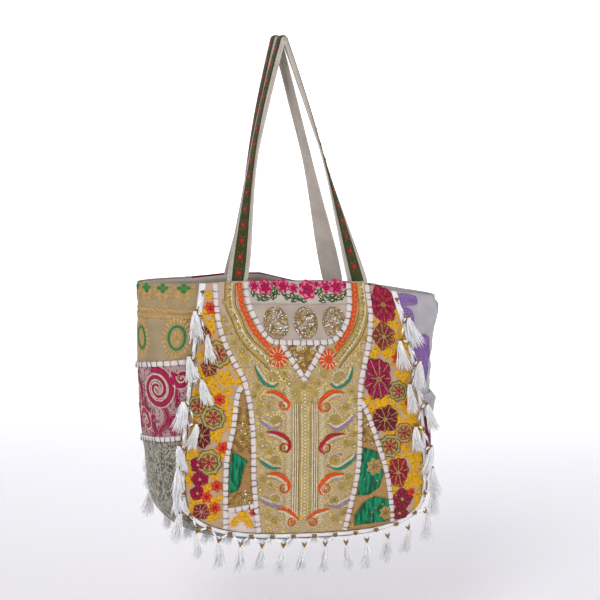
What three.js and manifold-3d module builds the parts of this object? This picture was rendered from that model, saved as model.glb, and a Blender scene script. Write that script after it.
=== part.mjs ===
// Patchwork tote bag, hanging by its two straps from one point.
// Millimetres, +Z up, front panel toward -Y, right as seen from the front toward +X.
// The origin is the point under the bend of the straps where the bag hangs.
import * as THREE from 'three';
import { mergeVertices } from 'three/addons/utils/BufferGeometryUtils.js';
import Module from 'manifold-3d';

const wasm = await Module();
wasm.setup();

// Cloth thicknesses and the gap that separate pieces keep.
const CLOTH = 2;
const LINING_CLOTH = 1;
const RIBBON_CLOTH = 1;
const GAP = 0.3;

// Bag body: where the panels sit under the hang point.
const PANEL_X = 17;
const RIM_Z = -361;
const LEAN = 0.045;

// Panel outline: u is measured across from the panel's middle, v down from the rim.
const RIM_HALF_WIDTH = 143;
const BODY_HALF_WIDTH = 187;
const WIDEST_V = 290;
const WIDTH_CURVE = 1.7;
const CORNER_V = 300;
const BOTTOM_DROP = 77;
const BOTTOM_CURVE = 3;
const FRONT_BELLY = 7;
const FRONT = -1;
const BACK = 1;
const PANEL_COLUMNS = 12;
const PANEL_ROWS = 8;

// Half depth of the bag between its front and back panels.
const RIM_HALF_DEPTH = 40;
const BODY_HALF_DEPTH = 80;
const DEEPEST_V = 230;
const DEPTH_CURVE = 2.2;

// Gusset: a half ellipse of cloth between the panels, set in from their faces by the seam.
const SEAM_INSET = 4.6;
const GUSSET_BOTTOM_BULGE = 22;
const BULGE_FADE = 6;
const GUSSET_BULGE = [
  { v: 0, left: 94, right: 92 },
  { v: 45, left: 82, right: 84 },
  { v: 90, left: 74, right: 64 },
  { v: 120, left: 68, right: 54 },
  { v: 160, left: 59, right: 43 },
  { v: 225, left: 46, right: 38 },
  { v: 300, left: 35, right: 28 },
];
const GUSSET_RIM_SAG = { left: 3, right: 12 };
const SAG_REACH = 110;
const LEVEL_V = 220;

// Height of the two rims, as the drop below the middle of the front rim.
const FRONT_RIM = [
  { s: -1, drop: 4 },
  { s: -0.7, drop: 0.5 },
  { s: 0.66, drop: 0 },
  { s: 1, drop: 14 },
];
const BACK_RIM = [
  { s: -1, drop: 3 },
  { s: -0.6, drop: -3 },
  { s: -0.25, drop: -4 },
  { s: 0.15, drop: 9 },
  { s: 0.6, drop: 8 },
  { s: 1, drop: 13 },
];

// Sewn lines of the front panel, in panel millimetres, each from its upper end.
const SEAM_LINES = {
  yoke_left: [
    { u: -128, v: -25 }, { u: -131, v: 45 }, { u: -121, v: 94 }, { u: -100, v: 135 },
    { u: -95, v: 149 }, { u: -88, v: 186 }, { u: -84, v: 242 }, { u: -83, v: 300 }, { u: -70, v: 420 },
  ],
  yoke_right: [
    { u: 106, v: -25 }, { u: 109, v: 40 }, { u: 103, v: 84 }, { u: 89, v: 136 },
    { u: 83, v: 172 }, { u: 83, v: 224 }, { u: 80, v: 282 }, { u: 68, v: 344 }, { u: 50, v: 420 },
  ],
  wedge_left: [
    { u: -95, v: 149 }, { u: -107, v: 163 }, { u: -115, v: 212 }, { u: -126, v: 276 }, { u: -126, v: 420 },
  ],
  wedge_right: [
    { u: 83, v: 172 }, { u: 97, v: 199 }, { u: 112, v: 240 }, { u: 132, v: 308 }, { u: 142, v: 420 },
  ],
  neck: [
    { u: -82, v: -25 }, { u: -82, v: 28 }, { u: -70, v: 61 }, { u: -55, v: 83 }, { u: -38, v: 88 },
    { u: 32, v: 88 }, { u: 50, v: 82 }, { u: 67, v: 63 }, { u: 77, v: 30 }, { u: 79, v: -25 },
  ],
};
const STRAIGHT_SEAMS = {
  rose: [{ u: -81.6, v: 33 }, { u: 76.6, v: 33 }],
  vee: [{ u: -38, v: 88 }, { u: -4, v: 142 }, { u: 32, v: 88 }],
  wedge_hem: [{ u: -126.9, v: 340 }, { u: -79.6, v: 332 }],
};
const SEAM_STEPS = 9;
const SPLINE_STEPS = 2;
const MITRE_LIMIT = 0.3;
const SHARE_STEPS = 24;

// Cloth patches of the front panel: a point inside each, found by a thin probe, and its finish.
const PROBE_WIDTH = 1;
const PATCHES = [
  { name: 'front_rose_band', u: 0, v: 18, finish: 'rose' },
  { name: 'front_bib', u: 0, v: 60, finish: 'cream' },
  { name: 'front_v_insert', u: -3, v: 105, finish: 'sequin' },
  { name: 'front_yoke', u: 0, v: 250, finish: 'gold' },
  { name: 'front_side_left', u: -150, v: 200, finish: 'yellow' },
  { name: 'front_side_right', u: 130, v: 130, finish: 'magenta' },
  { name: 'front_wedge_left', u: -100, v: 220, finish: 'brown' },
  { name: 'front_wedge_right', u: 95, v: 260, finish: 'green' },
  { name: 'front_hem_left', u: -105, v: 348, finish: 'yellow' },
];

// Stitched ribbons laid over the sewn lines; each stops short of the ones above it here.
const RIBBON_HALF_WIDTH = 4;
const RIBBONS = [
  { name: 'ribbon_neck', line: 'neck' },
  { name: 'ribbon_v', line: 'vee' },
  { name: 'ribbon_yoke_left', line: 'yoke_left' },
  { name: 'ribbon_yoke_right', line: 'yoke_right' },
  { name: 'ribbon_wedge_left', line: 'wedge_left' },
  { name: 'ribbon_wedge_right', line: 'wedge_right' },
  { name: 'ribbon_wedge_hem', line: 'wedge_hem' },
];

// Cloth pieces of the gusset, from the left rim round the bottom to the right rim.
// A seam across it has a side, a drop and how much lower it lies at the back than at the front.
const LEFT_RIM = { side: 'left', v: 0, slant: 0 };
const LEFT_UPPER = { side: 'left', v: 131, slant: 32 };
const LEFT_LOWER = { side: 'left', v: 243, slant: 32 };
const LEFT_FOOT = { side: 'left', v: CORNER_V, slant: 0 };
const FOOT_MIDDLE = { side: 'middle', v: CORNER_V, slant: 0 };
const RIGHT_FOOT = { side: 'right', v: CORNER_V, slant: 0 };
const RIGHT_RUFFLE = { side: 'right', v: 186, slant: 0 };
const RIGHT_RIM = { side: 'right', v: 0, slant: 0 };
const GUSSET_PIECES = [
  { name: 'gusset_left_upper', from: LEFT_RIM, to: LEFT_UPPER, finish: 'tan' },
  { name: 'gusset_left_middle', from: LEFT_UPPER, to: LEFT_LOWER, finish: 'mauve' },
  { name: 'gusset_left_lower', from: LEFT_LOWER, to: LEFT_FOOT, finish: 'damask' },
  { name: 'gusset_bottom_left', from: LEFT_FOOT, to: FOOT_MIDDLE, finish: 'teal' },
  { name: 'gusset_bottom_right', from: FOOT_MIDDLE, to: RIGHT_FOOT, finish: 'maroon' },
  { name: 'gusset_right_lower', from: RIGHT_FOOT, to: RIGHT_RUFFLE, finish: 'maroon' },
  { name: 'gusset_right_upper', from: RIGHT_RUFFLE, to: RIGHT_RIM, finish: 'silver' },
];

// Ribbons across the gusset, and the gathered ruffle that puffs out on the right.
const GUSSET_RIBBON = { half: 5, rise: 0, columns: 2, finish: 'ribbon' };
const GUSSET_RUFFLE = { half: 17, rise: 9, columns: 6, finish: 'silver' };
const GUSSET_BANDS = [
  { name: 'ribbon_gusset_left_1', at: LEFT_UPPER, ...GUSSET_RIBBON },
  { name: 'ribbon_gusset_left_2', at: LEFT_LOWER, ...GUSSET_RIBBON },
  { name: 'ribbon_gusset_right', at: RIGHT_RUFFLE, ...GUSSET_RUFFLE },
];
const GUSSET_STEP = 36;
const GUSSET_ROWS = 8;
const BAND_EDGE = 0.06;
const BAND_GAP = 1.3;

// Seam piping between the panels and the gusset.
const PIPING_RADIUS = 3;
const PIPING_OUT = 4.1;
const PIPING_IN = 1.2;
const PIPING_SIDES = 5;
const PIPING_STEPS = 48;

// Bead and tassel fringe along each seam.
const TASSEL_COUNT = 31;
const TASSEL_LENGTH = 42;
const TASSEL_NECK = { out: 4, down: 2, turn: 0.5, radius: 2.6 };
const TASSEL_HEAD = { out: 5, down: 7, turn: 1, radius: 4 };
const SKIRT_RADIUS = 8;
const LOCK_DEPTH = 7;
const HEAD_HALF = 2.2;
const TASSEL_ASIDE = 4;
const STRAND_CORNERS = [[-1, -1], [-1, 1], [1, 1], [1, -1]];
const FRINGE_ENDS = 0.012;
const STRAND_RADIUS = 1.5;
const STRAND_OUT = 3;
const STRAND_DROP = 13;
const STRAND_FALL = 1.2;
const TURN_FORWARD = 3.9;
const HEAD_FORWARD = 6.5;
const SKIRT_FORWARD = 10;
const TASSEL_SWAY = 5;
const SWAY_STEP = 2.4;

// Straps: flat bands that turn edge-on toward the hang point, with the front margin folded in.
const STRAP_WIDTH = 31;
const STRAP_CLOTH = 2.5;
const STRAP_SPREAD = 16.3;
const STRAP_BEND = 4.5;
const CROWN_Z = STRAP_CLOTH / 2 + GAP - STRAP_BEND;
const STRAP_TAIL = 26;
const STRAP_IN = 4.1;
const TRIM_WIDTH = 18;
const TRIM_CLOTH = 1;
const FOLD_ANGLE = 1.25;
const FOLD_FROM = 0.45;
const FOLD_TO = 0.85;
const LEAST_LIFT = 0.5;
const STRAPS = [
  {
    name: 'strap_front',
    side: FRONT,
    rim: FRONT_RIM,
    left: { foot: -77, bow: -9, turn: 3.6 },
    right: { foot: 113, bow: 4, turn: 2.2 },
  },
  {
    name: 'strap_back',
    side: BACK,
    rim: BACK_RIM,
    left: { foot: -61, bow: -6, turn: 3.6 },
    right: { foot: 99, bow: 3, turn: 3.2 },
  },
];
const LEG_STEPS = 14;
const LIP_SHARE = 0.012;
const TAIL_STATIONS = 2;
const BOW_SKEW = 1.3;
const BEND_STEPS = 6;

// Lining bag, a little inside the outer cloth.
const LINING_IN = 6.2;
const LINING_SIDE_IN = 7;
const LINING_BOTTOM_V = 366;
const LINING_CURVE = 2.6;
const LINING_LEVELS = [0, 40, 85, 140, 210, 290, 340, LINING_BOTTOM_V];
const LINING_SIDES = 22;
const LINING_RIM_DROP = 1.5;
const LINING_RIM_SPREAD = 1.6;

// Surface finishes of the cloths.
const FINISHES = {
  rose: { color: 0xc98f98, roughness: 0.85, metalness: 0 },
  cream: { color: 0xc9b9a4, roughness: 0.85, metalness: 0 },
  sequin: { color: 0xb08a45, roughness: 0.45, metalness: 0.4 },
  gold: { color: 0xbfa96a, roughness: 0.55, metalness: 0.25 },
  yellow: { color: 0xd9a441, roughness: 0.85, metalness: 0 },
  magenta: { color: 0xa83058, roughness: 0.85, metalness: 0 },
  brown: { color: 0xa07645, roughness: 0.7, metalness: 0.1 },
  green: { color: 0x0b7a55, roughness: 0.45, metalness: 0 },
  tan: { color: 0xbfa679, roughness: 0.85, metalness: 0 },
  mauve: { color: 0xa86a80, roughness: 0.85, metalness: 0 },
  damask: { color: 0x7c7a68, roughness: 0.7, metalness: 0 },
  teal: { color: 0x5d7670, roughness: 0.8, metalness: 0 },
  maroon: { color: 0x6e1230, roughness: 0.75, metalness: 0 },
  silver: { color: 0xbdbdc2, roughness: 0.6, metalness: 0 },
  ribbon: { color: 0xdfd6d2, roughness: 0.85, metalness: 0 },
  linen: { color: 0xc9c2b8, roughness: 0.9, metalness: 0 },
  lining: { color: 0xc4b9ab, roughness: 0.9, metalness: 0 },
  trim: { color: 0x46491f, roughness: 0.85, metalness: 0 },
  white: { color: 0xe8e6e4, roughness: 0.85, metalness: 0 },
};

const clamp01 = (value) => THREE.MathUtils.clamp(value, 0, 1);
const mix = THREE.MathUtils.lerp;

/** Value of a table's column at a key, straight between rows. */
function readTable(table, key, column, at) {
  const upper = table.findIndex((row) => row[key] >= at);
  if (upper <= 0) {
    return table[upper === 0 ? 0 : table.length - 1][column];
  }
  const low = table[upper - 1];
  const high = table[upper];
  return mix(low[column], high[column], (at - low[key]) / (high[key] - low[key]));
}

/** Solid through equal closed rings of points; each end is closed by strips across its ring. */
function loft(rings) {
  const size = rings[0].length;
  const index = [];
  for (let ring = 0; ring + 1 < rings.length; ring += 1) {
    for (let k = 0; k < size; k += 1) {
      const next = (k + 1) % size;
      const a = ring * size + k;
      const b = ring * size + next;
      const [c, d] = [b + size, a + size];
      index.push(...(k < size / 2 ? [a, b, c, a, c, d] : [a, b, d, b, c, d]));
    }
  }
  const last = (rings.length - 1) * size;
  for (let k = 0; k < size / 2 - 1; k += 1) {
    const far = size - 1 - k;
    index.push(k, far, far - 1, k, far - 1, k + 1);
    index.push(last + k, last + k + 1, last + far - 1, last + k, last + far - 1, last + far);
  }
  const geometry = new THREE.BufferGeometry().setFromPoints(rings.flat());
  geometry.setIndex(index);
  return facingOut(geometry);
}

/** The same closed geometry with every face turned outward. */
function facingOut(geometry) {
  const position = geometry.getAttribute('position');
  const corners = [new THREE.Vector3(), new THREE.Vector3(), new THREE.Vector3()];
  const index = geometry.getIndex().array;
  let volume = 0;
  for (let k = 0; k < index.length; k += 3) {
    corners.forEach((corner, c) => corner.fromBufferAttribute(position, index[k + c]));
    volume += corners[0].dot(corners[1].clone().cross(corners[2]));
  }
  if (volume < 0) {
    for (let k = 0; k < index.length; k += 3) {
      [index[k + 1], index[k + 2]] = [index[k + 2], index[k + 1]];
    }
  }
  return geometry;
}

/** Solid for joining and cutting, from a closed geometry. */
function toSolid(geometry) {
  geometry.deleteAttribute('normal');
  geometry.deleteAttribute('uv');
  const merged = mergeVertices(geometry);
  const vertProperties = new Float32Array(merged.getAttribute('position').array);
  const triVerts = new Uint32Array(merged.getIndex().array);
  return new wasm.Manifold(new wasm.Mesh({ numProp: 3, vertProperties, triVerts }));
}

/** Geometry of a joined or cut solid. */
function toGeometry(solid) {
  const mesh = solid.getMesh();
  const geometry = new THREE.BufferGeometry();
  geometry.setAttribute('position', new THREE.Float32BufferAttribute(mesh.vertProperties, 3));
  geometry.setIndex(Array.from(mesh.triVerts));
  return geometry;
}

const DOWN = new THREE.Vector3(0, 0, -1);
const tote = new THREE.Group();

/** Adds one named piece of the bag. */
function addPiece(name, geometry, finish) {
  const mesh = new THREE.Mesh(geometry, new THREE.MeshStandardMaterial(FINISHES[finish]));
  mesh.name = name;
  tote.add(mesh);
}

// Body surfaces.

function halfWidth(v) {
  const share = clamp01(v / WIDEST_V);
  return mix(RIM_HALF_WIDTH, BODY_HALF_WIDTH, 1 - (1 - share) ** WIDTH_CURVE);
}

function halfDepth(v) {
  const share = clamp01(v / DEEPEST_V);
  return mix(RIM_HALF_DEPTH, BODY_HALF_DEPTH, 1 - (1 - share) ** DEPTH_CURVE);
}

function bottomEdge(s) {
  return CORNER_V + BOTTOM_DROP * (1 - Math.abs(s) ** BOTTOM_CURVE) ** (1 / BOTTOM_CURVE);
}

function bagPoint(u, v, y) {
  return new THREE.Vector3(PANEL_X + u, y, RIM_Z - v - LEAN * u);
}

/** Place on a panel: s across from -1 to 1, t from its rim to its bottom edge, raised by a height. */
function panelPoint(side, rim, s, t, height) {
  const top = readTable(rim, 's', 'drop', s);
  const v = mix(top, bottomEdge(s), t);
  const belly = FRONT_BELLY * (1 - s * s) * Math.sin(Math.PI * t);
  return bagPoint(s * halfWidth(v), v, side * (halfDepth(v) + belly + height));
}

/** Layer of cloth over a whole panel between two heights above its face. */
function panelLayer(side, rim, low, high, columns, rows) {
  const rings = [];
  for (let c = 0; c <= columns; c += 1) {
    const s = Math.sin(Math.PI * (c / columns - 0.5));
    const outer = [];
    const inner = [];
    for (let r = 0; r <= rows; r += 1) {
      outer.push(panelPoint(side, rim, s, r / rows, high));
      inner.unshift(panelPoint(side, rim, s, r / rows, low));
    }
    rings.push([...outer, ...inner]);
  }
  return loft(rings);
}

// Front panel: the wall is cut along the sewn lines into its patches.

/** Points along a sewn line: curved ones run smoothly through their table. */
function seamPoints(name) {
  if (STRAIGHT_SEAMS[name]) {
    return STRAIGHT_SEAMS[name].map(({ u, v }) => new THREE.Vector2(u, v));
  }
  const rows = SEAM_LINES[name];
  const curve = new THREE.SplineCurve(rows.map(({ u, v }) => new THREE.Vector2(u, v)));
  return curve.getPoints((rows.length - 1) * SPLINE_STEPS);
}

/** Block through the front panel along a line, as wide as twice the half width. */
function seamBlock(points, half) {
  const sides = points.map((point, k) => {
    const before = points[Math.max(k - 1, 0)];
    const after = points[Math.min(k + 1, points.length - 1)];
    const into = point.clone().sub(before).normalize();
    const out = after.clone().sub(point).normalize();
    const along = into.clone().add(out).normalize();
    const reach = half / Math.max(along.dot(k === 0 ? out : into), MITRE_LIMIT);
    return new THREE.Vector2(-along.y, along.x).multiplyScalar(reach);
  });
  const outline = points.map((point, k) => point.clone().add(sides[k]));
  const back = points.map((point, k) => point.clone().sub(sides[k])).reverse();
  const shape = new THREE.Shape([...outline, ...back].map(({ x: u, y: v }) => {
    const place = bagPoint(u, v, 0);
    return new THREE.Vector2(place.x, place.z);
  }));
  const depth = 2 * BODY_HALF_DEPTH;
  const block = new THREE.ExtrudeGeometry(shape, { depth, bevelEnabled: false, steps: 1 });
  return toSolid(block.rotateX(Math.PI / 2));
}

const lineNames = [...Object.keys(SEAM_LINES), ...Object.keys(STRAIGHT_SEAMS)];
const frontWall = toSolid(panelLayer(FRONT, FRONT_RIM, -CLOTH, 0, PANEL_COLUMNS, PANEL_ROWS));
const cutWall = lineNames.reduce(
  (wall, name) => wall.subtract(seamBlock(seamPoints(name), GAP / 2)),
  frontWall,
);
const cutPieces = cutWall.decompose();
PATCHES.forEach(({ name, u, v, finish }) => {
  const probe = new THREE.BoxGeometry(PROBE_WIDTH, 4 * BODY_HALF_DEPTH, PROBE_WIDTH);
  const marker = toSolid(probe.translate(...bagPoint(u, v, 0)));
  const piece = cutPieces.find((candidate) => !candidate.intersect(marker).isEmpty());
  addPiece(name, toGeometry(piece), finish);
});

// Ribbons over the sewn lines.

const ribbonLayer = toSolid(
  panelLayer(FRONT, FRONT_RIM, GAP, GAP + RIBBON_CLOTH, PANEL_COLUMNS, PANEL_ROWS),
);
RIBBONS.forEach(({ name, line }, k) => {
  const strip = ribbonLayer.intersect(seamBlock(seamPoints(line), RIBBON_HALF_WIDTH));
  const ribbon = RIBBONS.slice(0, k).reduce(
    (rest, earlier) => rest.subtract(seamBlock(seamPoints(earlier.line), RIBBON_HALF_WIDTH + GAP)),
    strip,
  );
  addPiece(name, toGeometry(ribbon), 'ribbon');
});

addPiece('back_panel', panelLayer(BACK, BACK_RIM, -CLOTH, 0, PANEL_COLUMNS, PANEL_ROWS), 'maroon');

// Seam outline that the gusset, the piping and the fringe follow, from the left rim to the right.

function seamCurve(rim) {
  const points = [];
  const leftTop = readTable(rim, 's', 'drop', -1);
  const rightTop = readTable(rim, 's', 'drop', 1);
  for (let k = 0; k < SEAM_STEPS; k += 1) {
    const v = mix(leftTop, CORNER_V, k / SEAM_STEPS);
    points.push(new THREE.Vector2(-halfWidth(v), v));
  }
  for (let k = 0; k <= 2 * SEAM_STEPS; k += 1) {
    const s = Math.sin(Math.PI * (k / (2 * SEAM_STEPS) - 0.5));
    points.push(new THREE.Vector2(s * halfWidth(CORNER_V), bottomEdge(s)));
  }
  for (let k = SEAM_STEPS - 1; k >= 0; k -= 1) {
    const v = mix(rightTop, CORNER_V, k / SEAM_STEPS);
    points.push(new THREE.Vector2(halfWidth(v), v));
  }
  return new THREE.SplineCurve(points);
}

const SEAMS = { front: seamCurve(FRONT_RIM), back: seamCurve(BACK_RIM) };

/** Place on a seam and the outward direction there: level on the sides, square to the seam below. */
function seamFrame(curve, q) {
  const point = curve.getPointAt(q);
  const along = curve.getTangentAt(q);
  const level = new THREE.Vector2(Math.sign(q - 0.5), 0);
  const square = new THREE.Vector2(-along.y, along.x);
  const share = THREE.MathUtils.smoothstep(point.y, LEVEL_V, CORNER_V);
  return { point, outward: level.lerp(square, share).normalize() };
}

/** Share of a seam's length at a drop on one side of it. */
function seamShare(curve, side, v) {
  if (side === 'middle') {
    return 0.5;
  }
  let above = side === 'left' ? 0 : 1;
  let below = 0.5;
  for (let k = 0; k < SHARE_STEPS; k += 1) {
    const half = (above + below) / 2;
    if (curve.getPointAt(half).y < v) {
      above = half;
    } else {
      below = half;
    }
  }
  return (above + below) / 2;
}

// Gusset.

const seamLength = SEAMS.front.getLength();
const RIM_START = { share: 0, slant: 0 };
const RIM_END = { share: 1, slant: 0 };

function gussetBulge({ x: u, y: v }) {
  const side = readTable(GUSSET_BULGE, 'v', u < 0 ? 'left' : 'right', v);
  const share = v < CORNER_V ? 1 : Math.abs(u / BODY_HALF_WIDTH) ** BULGE_FADE;
  return mix(GUSSET_BOTTOM_BULGE, side, share);
}

/** Place on the gusset: q along the seam, w across from the front seam to the back one. */
function gussetPoint(q, w, height, rise) {
  const front = seamFrame(SEAMS.front, q);
  const back = seamFrame(SEAMS.back, q);
  const place = front.point.clone().lerp(back.point, w);
  const outward = front.outward.clone().lerp(back.outward, w).normalize();
  const swell = Math.sin(Math.PI * w);
  const sag = GUSSET_RIM_SAG[place.x < 0 ? 'left' : 'right'];
  const reach = (gussetBulge(place) + height + rise * swell ** 2) * swell;
  const slip = sag * swell * clamp01(1 - place.y / SAG_REACH);
  const depth = (halfDepth(place.y) - SEAM_INSET + height) * Math.cos(Math.PI * w);
  return bagPoint(place.x + outward.x * reach, place.y + outward.y * reach + slip, -depth);
}

/** Seam across the gusset: its share of the long seam at half the depth, and its slant as a share. */
function crossSeam({ side, v, slant }, shift) {
  return { share: seamShare(SEAMS.front, side, v) + shift / seamLength, slant: slant / seamLength };
}

/** Band of the gusset between two cross seams, puffed out by a rise along its middle. */
function gussetBand(from, to, columns, thickness, height, edge, puff) {
  const rings = [];
  for (let c = 0; c <= columns; c += 1) {
    const middle = mix(from.share, to.share, c / columns);
    const slant = mix(from.slant, to.slant, c / columns);
    const rise = puff * Math.sin((Math.PI * c) / columns);
    const outer = [];
    const inner = [];
    for (let r = 0; r <= GUSSET_ROWS; r += 1) {
      const w = THREE.MathUtils.clamp(r / GUSSET_ROWS, edge, 1 - edge);
      const q = middle + slant * (w - 0.5);
      outer.push(gussetPoint(q, w, height, rise));
      inner.unshift(gussetPoint(q, w, height - thickness, rise));
    }
    rings.push([...outer, ...inner]);
  }
  return loft(rings);
}

GUSSET_PIECES.forEach(({ name, from, to, finish }) => {
  const start = from === LEFT_RIM ? RIM_START : crossSeam(from, GAP);
  const end = to === RIGHT_RIM ? RIM_END : crossSeam(to, -GAP);
  const columns = Math.max(2, Math.round(((end.share - start.share) * seamLength) / GUSSET_STEP));
  addPiece(name, gussetBand(start, end, columns, CLOTH, 0, 0, 0), finish);
});
GUSSET_BANDS.forEach(({ name, at, half, rise, columns, finish }) => {
  const face = BAND_GAP + RIBBON_CLOTH;
  const [start, end] = [crossSeam(at, -half), crossSeam(at, half)];
  addPiece(name, gussetBand(start, end, columns, RIBBON_CLOTH, face, BAND_EDGE, rise), finish);
});

// Piping along both seams.

function seamPlace(curve, side, q, out, forward) {
  const { point, outward } = seamFrame(curve, q);
  const y = side * (halfDepth(point.y) + forward);
  return bagPoint(point.x + outward.x * out, point.y + outward.y * out, y);
}

function piping(curve, side) {
  const places = [];
  for (let k = 0; k <= PIPING_STEPS; k += 1) {
    places.push(seamPlace(curve, side, k / PIPING_STEPS, PIPING_OUT, -PIPING_IN));
  }
  const section = new THREE.Shape();
  for (let k = 0; k < PIPING_SIDES; k += 1) {
    const angle = (2 * Math.PI * k) / PIPING_SIDES;
    const point = [PIPING_RADIUS * Math.cos(angle), PIPING_RADIUS * Math.sin(angle)];
    if (k === 0) {
      section.moveTo(...point);
    } else {
      section.lineTo(...point);
    }
  }
  const path = new THREE.CatmullRomCurve3(places);
  return new THREE.ExtrudeGeometry(section, { extrudePath: path, steps: PIPING_STEPS });
}

addPiece('piping_front', piping(SEAMS.front, FRONT), 'white');
addPiece('piping_back', piping(SEAMS.back, BACK), 'white');

// Fringe: a zigzag bead strand whose lower turns grow into tassels, one piece a seam.

/** Turn of the strand where it touches the piping. */
function upperTurn(side, root, facing) {
  const place = bagPoint(root.x, root.y, side * (halfDepth(root.y) + TURN_FORWARD));
  return { place, facing };
}

/** Turn of the strand that carries a tassel; every other tassel of the sides leans in over the panel. */
function tasselTurn(side, root, outward, facing, lean, sway) {
  const drop = new THREE.Vector2(0, STRAND_FALL);
  const fall = outward.clone().multiplyScalar(lean).add(drop).normalize();
  const head = root.clone().addScaledVector(fall, STRAND_DROP);
  const hemU = head.x + Math.sign(outward.x) * (lean * TASSEL_ASIDE * Math.abs(outward.x) + sway);
  const hemV = head.y + TASSEL_LENGTH;
  const place = bagPoint(head.x, head.y, side * (halfDepth(head.y) + HEAD_FORWARD));
  const hem = bagPoint(hemU, hemV, side * (halfDepth(hemV) + SKIRT_FORWARD));
  return { place, facing, hem, lean };
}

/** Turns of the strand in order: on the piping, then out at a tassel, and so on. */
function fringeTurns(curve, side) {
  const turns = [];
  for (let k = 0; k <= 2 * TASSEL_COUNT; k += 1) {
    const q = mix(FRINGE_ENDS, 1 - FRINGE_ENDS, k / (2 * TASSEL_COUNT));
    const { point, outward } = seamFrame(curve, q);
    const facing = new THREE.Vector3(outward.x, 0, -outward.y);
    const root = point.clone().addScaledVector(outward, STRAND_OUT);
    if (k % 2 === 0) {
      turns.push(upperTurn(side, root, facing));
    } else {
      const lean = k % 4 === 3 && point.y < LEVEL_V ? -1 : 1;
      const sway = TASSEL_SWAY * Math.sin(SWAY_STEP * k);
      turns.push(tasselTurn(side, root, outward, facing, lean, sway));
    }
  }
  return turns;
}

/** Square ring about a centre, on two half axes. */
function squareRing(centre, first, second) {
  return STRAND_CORNERS.map(([a, b]) => {
    return centre.clone().addScaledVector(first, a).addScaledVector(second, b);
  });
}

/** Rings of a tassel that leaves the strand along a root direction and then hangs to its hem. */
function tasselRings(corners, head, root, hem) {
  const bend = new THREE.Quaternion().setFromUnitVectors(root, DOWN);
  const upper = [TASSEL_NECK, TASSEL_HEAD].map(({ out, down, turn, radius }) => {
    return { centre: head.clone().addScaledVector(root, out).addScaledVector(DOWN, down), turn, radius };
  });
  const levels = [...upper, { centre: hem, turn: 1, radius: SKIRT_RADIUS }];
  const sum = corners.reduce((total, corner) => total.add(corner), new THREE.Vector3());
  const middle = sum.divideScalar(corners.length);
  return levels.map(({ centre, turn, radius }) => {
    const swing = new THREE.Quaternion().slerp(bend, turn);
    return corners.map((corner) => {
      const arm = corner.clone().sub(middle).normalize().applyQuaternion(swing);
      return centre.clone().addScaledVector(arm, radius);
    });
  });
}

/** Strand and tassels of one seam as one piece: a tube of square rings, open where a tassel grows out. */
function fringe(curve, side) {
  const turns = fringeTurns(curve, side);
  const corners = STRAND_CORNERS.length;
  const points = [];
  const index = [];
  const quad = (a, b, c, d) => index.push(a, b, c, a, c, d);
  let last = -1;
  const addRing = (ring) => {
    const start = points.length;
    points.push(...ring);
    return start;
  };
  const join = (start, open) => {
    for (let k = 0; k < corners && last >= 0; k += 1) {
      const next = (k + 1) % corners;
      if (k !== open) {
        quad(last + k, last + next, start + next, start + k);
      }
    }
    last = start;
  };
  turns.forEach(({ place, hem, facing, lean }, k) => {
    const before = turns[Math.max(k - 1, 0)].place;
    const after = turns[Math.min(k + 1, turns.length - 1)].place;
    const along = after.clone().sub(before).normalize();
    const out = facing.clone().addScaledVector(along, -facing.dot(along)).normalize();
    const axes = [out.clone(), along.clone().cross(out)].map((axis) => axis.multiplyScalar(STRAND_RADIUS));
    if (!hem) {
      join(addRing(squareRing(place, ...axes)), -1);
      return;
    }
    const first = addRing(squareRing(place.clone().addScaledVector(along, -HEAD_HALF), ...axes));
    join(first, -1);
    const second = addRing(squareRing(place.clone().addScaledVector(along, HEAD_HALF), ...axes));
    const open = lean > 0 ? 2 : 0;
    join(second, open);
    let loop = [first + open, first + open + 1, second + open + 1, second + open];
    const mouth = loop.map((at) => points[at]);
    tasselRings(mouth, place, out.clone().multiplyScalar(lean), hem).forEach((ring) => {
      const start = addRing(ring);
      loop.forEach((at, c) => {
        const next = (c + 1) % corners;
        quad(at, loop[next], start + next, start + c);
      });
      loop = loop.map((_, c) => start + c);
    });
    const heart = addRing([hem.clone().addScaledVector(DOWN, -LOCK_DEPTH)]);
    loop.forEach((at, c) => index.push(at, loop[(c + 1) % corners], heart));
  });
  quad(3, 2, 1, 0);
  quad(last, last + 1, last + 2, last + 3);
  const geometry = new THREE.BufferGeometry().setFromPoints(points);
  geometry.setIndex(index);
  return facingOut(geometry);
}

addPiece('fringe_front', fringe(SEAMS.front, FRONT), 'white');
addPiece('fringe_back', fringe(SEAMS.back, BACK), 'white');

// Straps.

/** Stations of one leg, from its tail inside the rim up to the bend over the hang point. */
function legStations(side, rim, leg) {
  const { foot, bow } = leg;
  const u = foot - PANEL_X;
  const top = readTable(rim, 's', 'drop', u / RIM_HALF_WIDTH);
  const tail = bagPoint(u, top + STRAP_TAIL, side * (halfDepth(top + STRAP_TAIL) - STRAP_IN));
  const mouth = bagPoint(u, top, side * (halfDepth(top) - STRAP_IN));
  const crown = new THREE.Vector3(Math.sign(foot) * STRAP_BEND, side * STRAP_SPREAD, CROWN_Z);
  const shares = [0, LIP_SHARE];
  for (let k = 1; k <= LEG_STEPS; k += 1) {
    shares.push(k / LEG_STEPS);
  }
  const stations = shares.map((share) => {
    const place = mouth.clone().lerp(crown, share);
    place.x += bow * Math.sin(Math.PI * share ** BOW_SKEW);
    return { place, share, leg };
  });
  return [{ place: tail, share: 0, leg }, ...stations];
}

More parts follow.
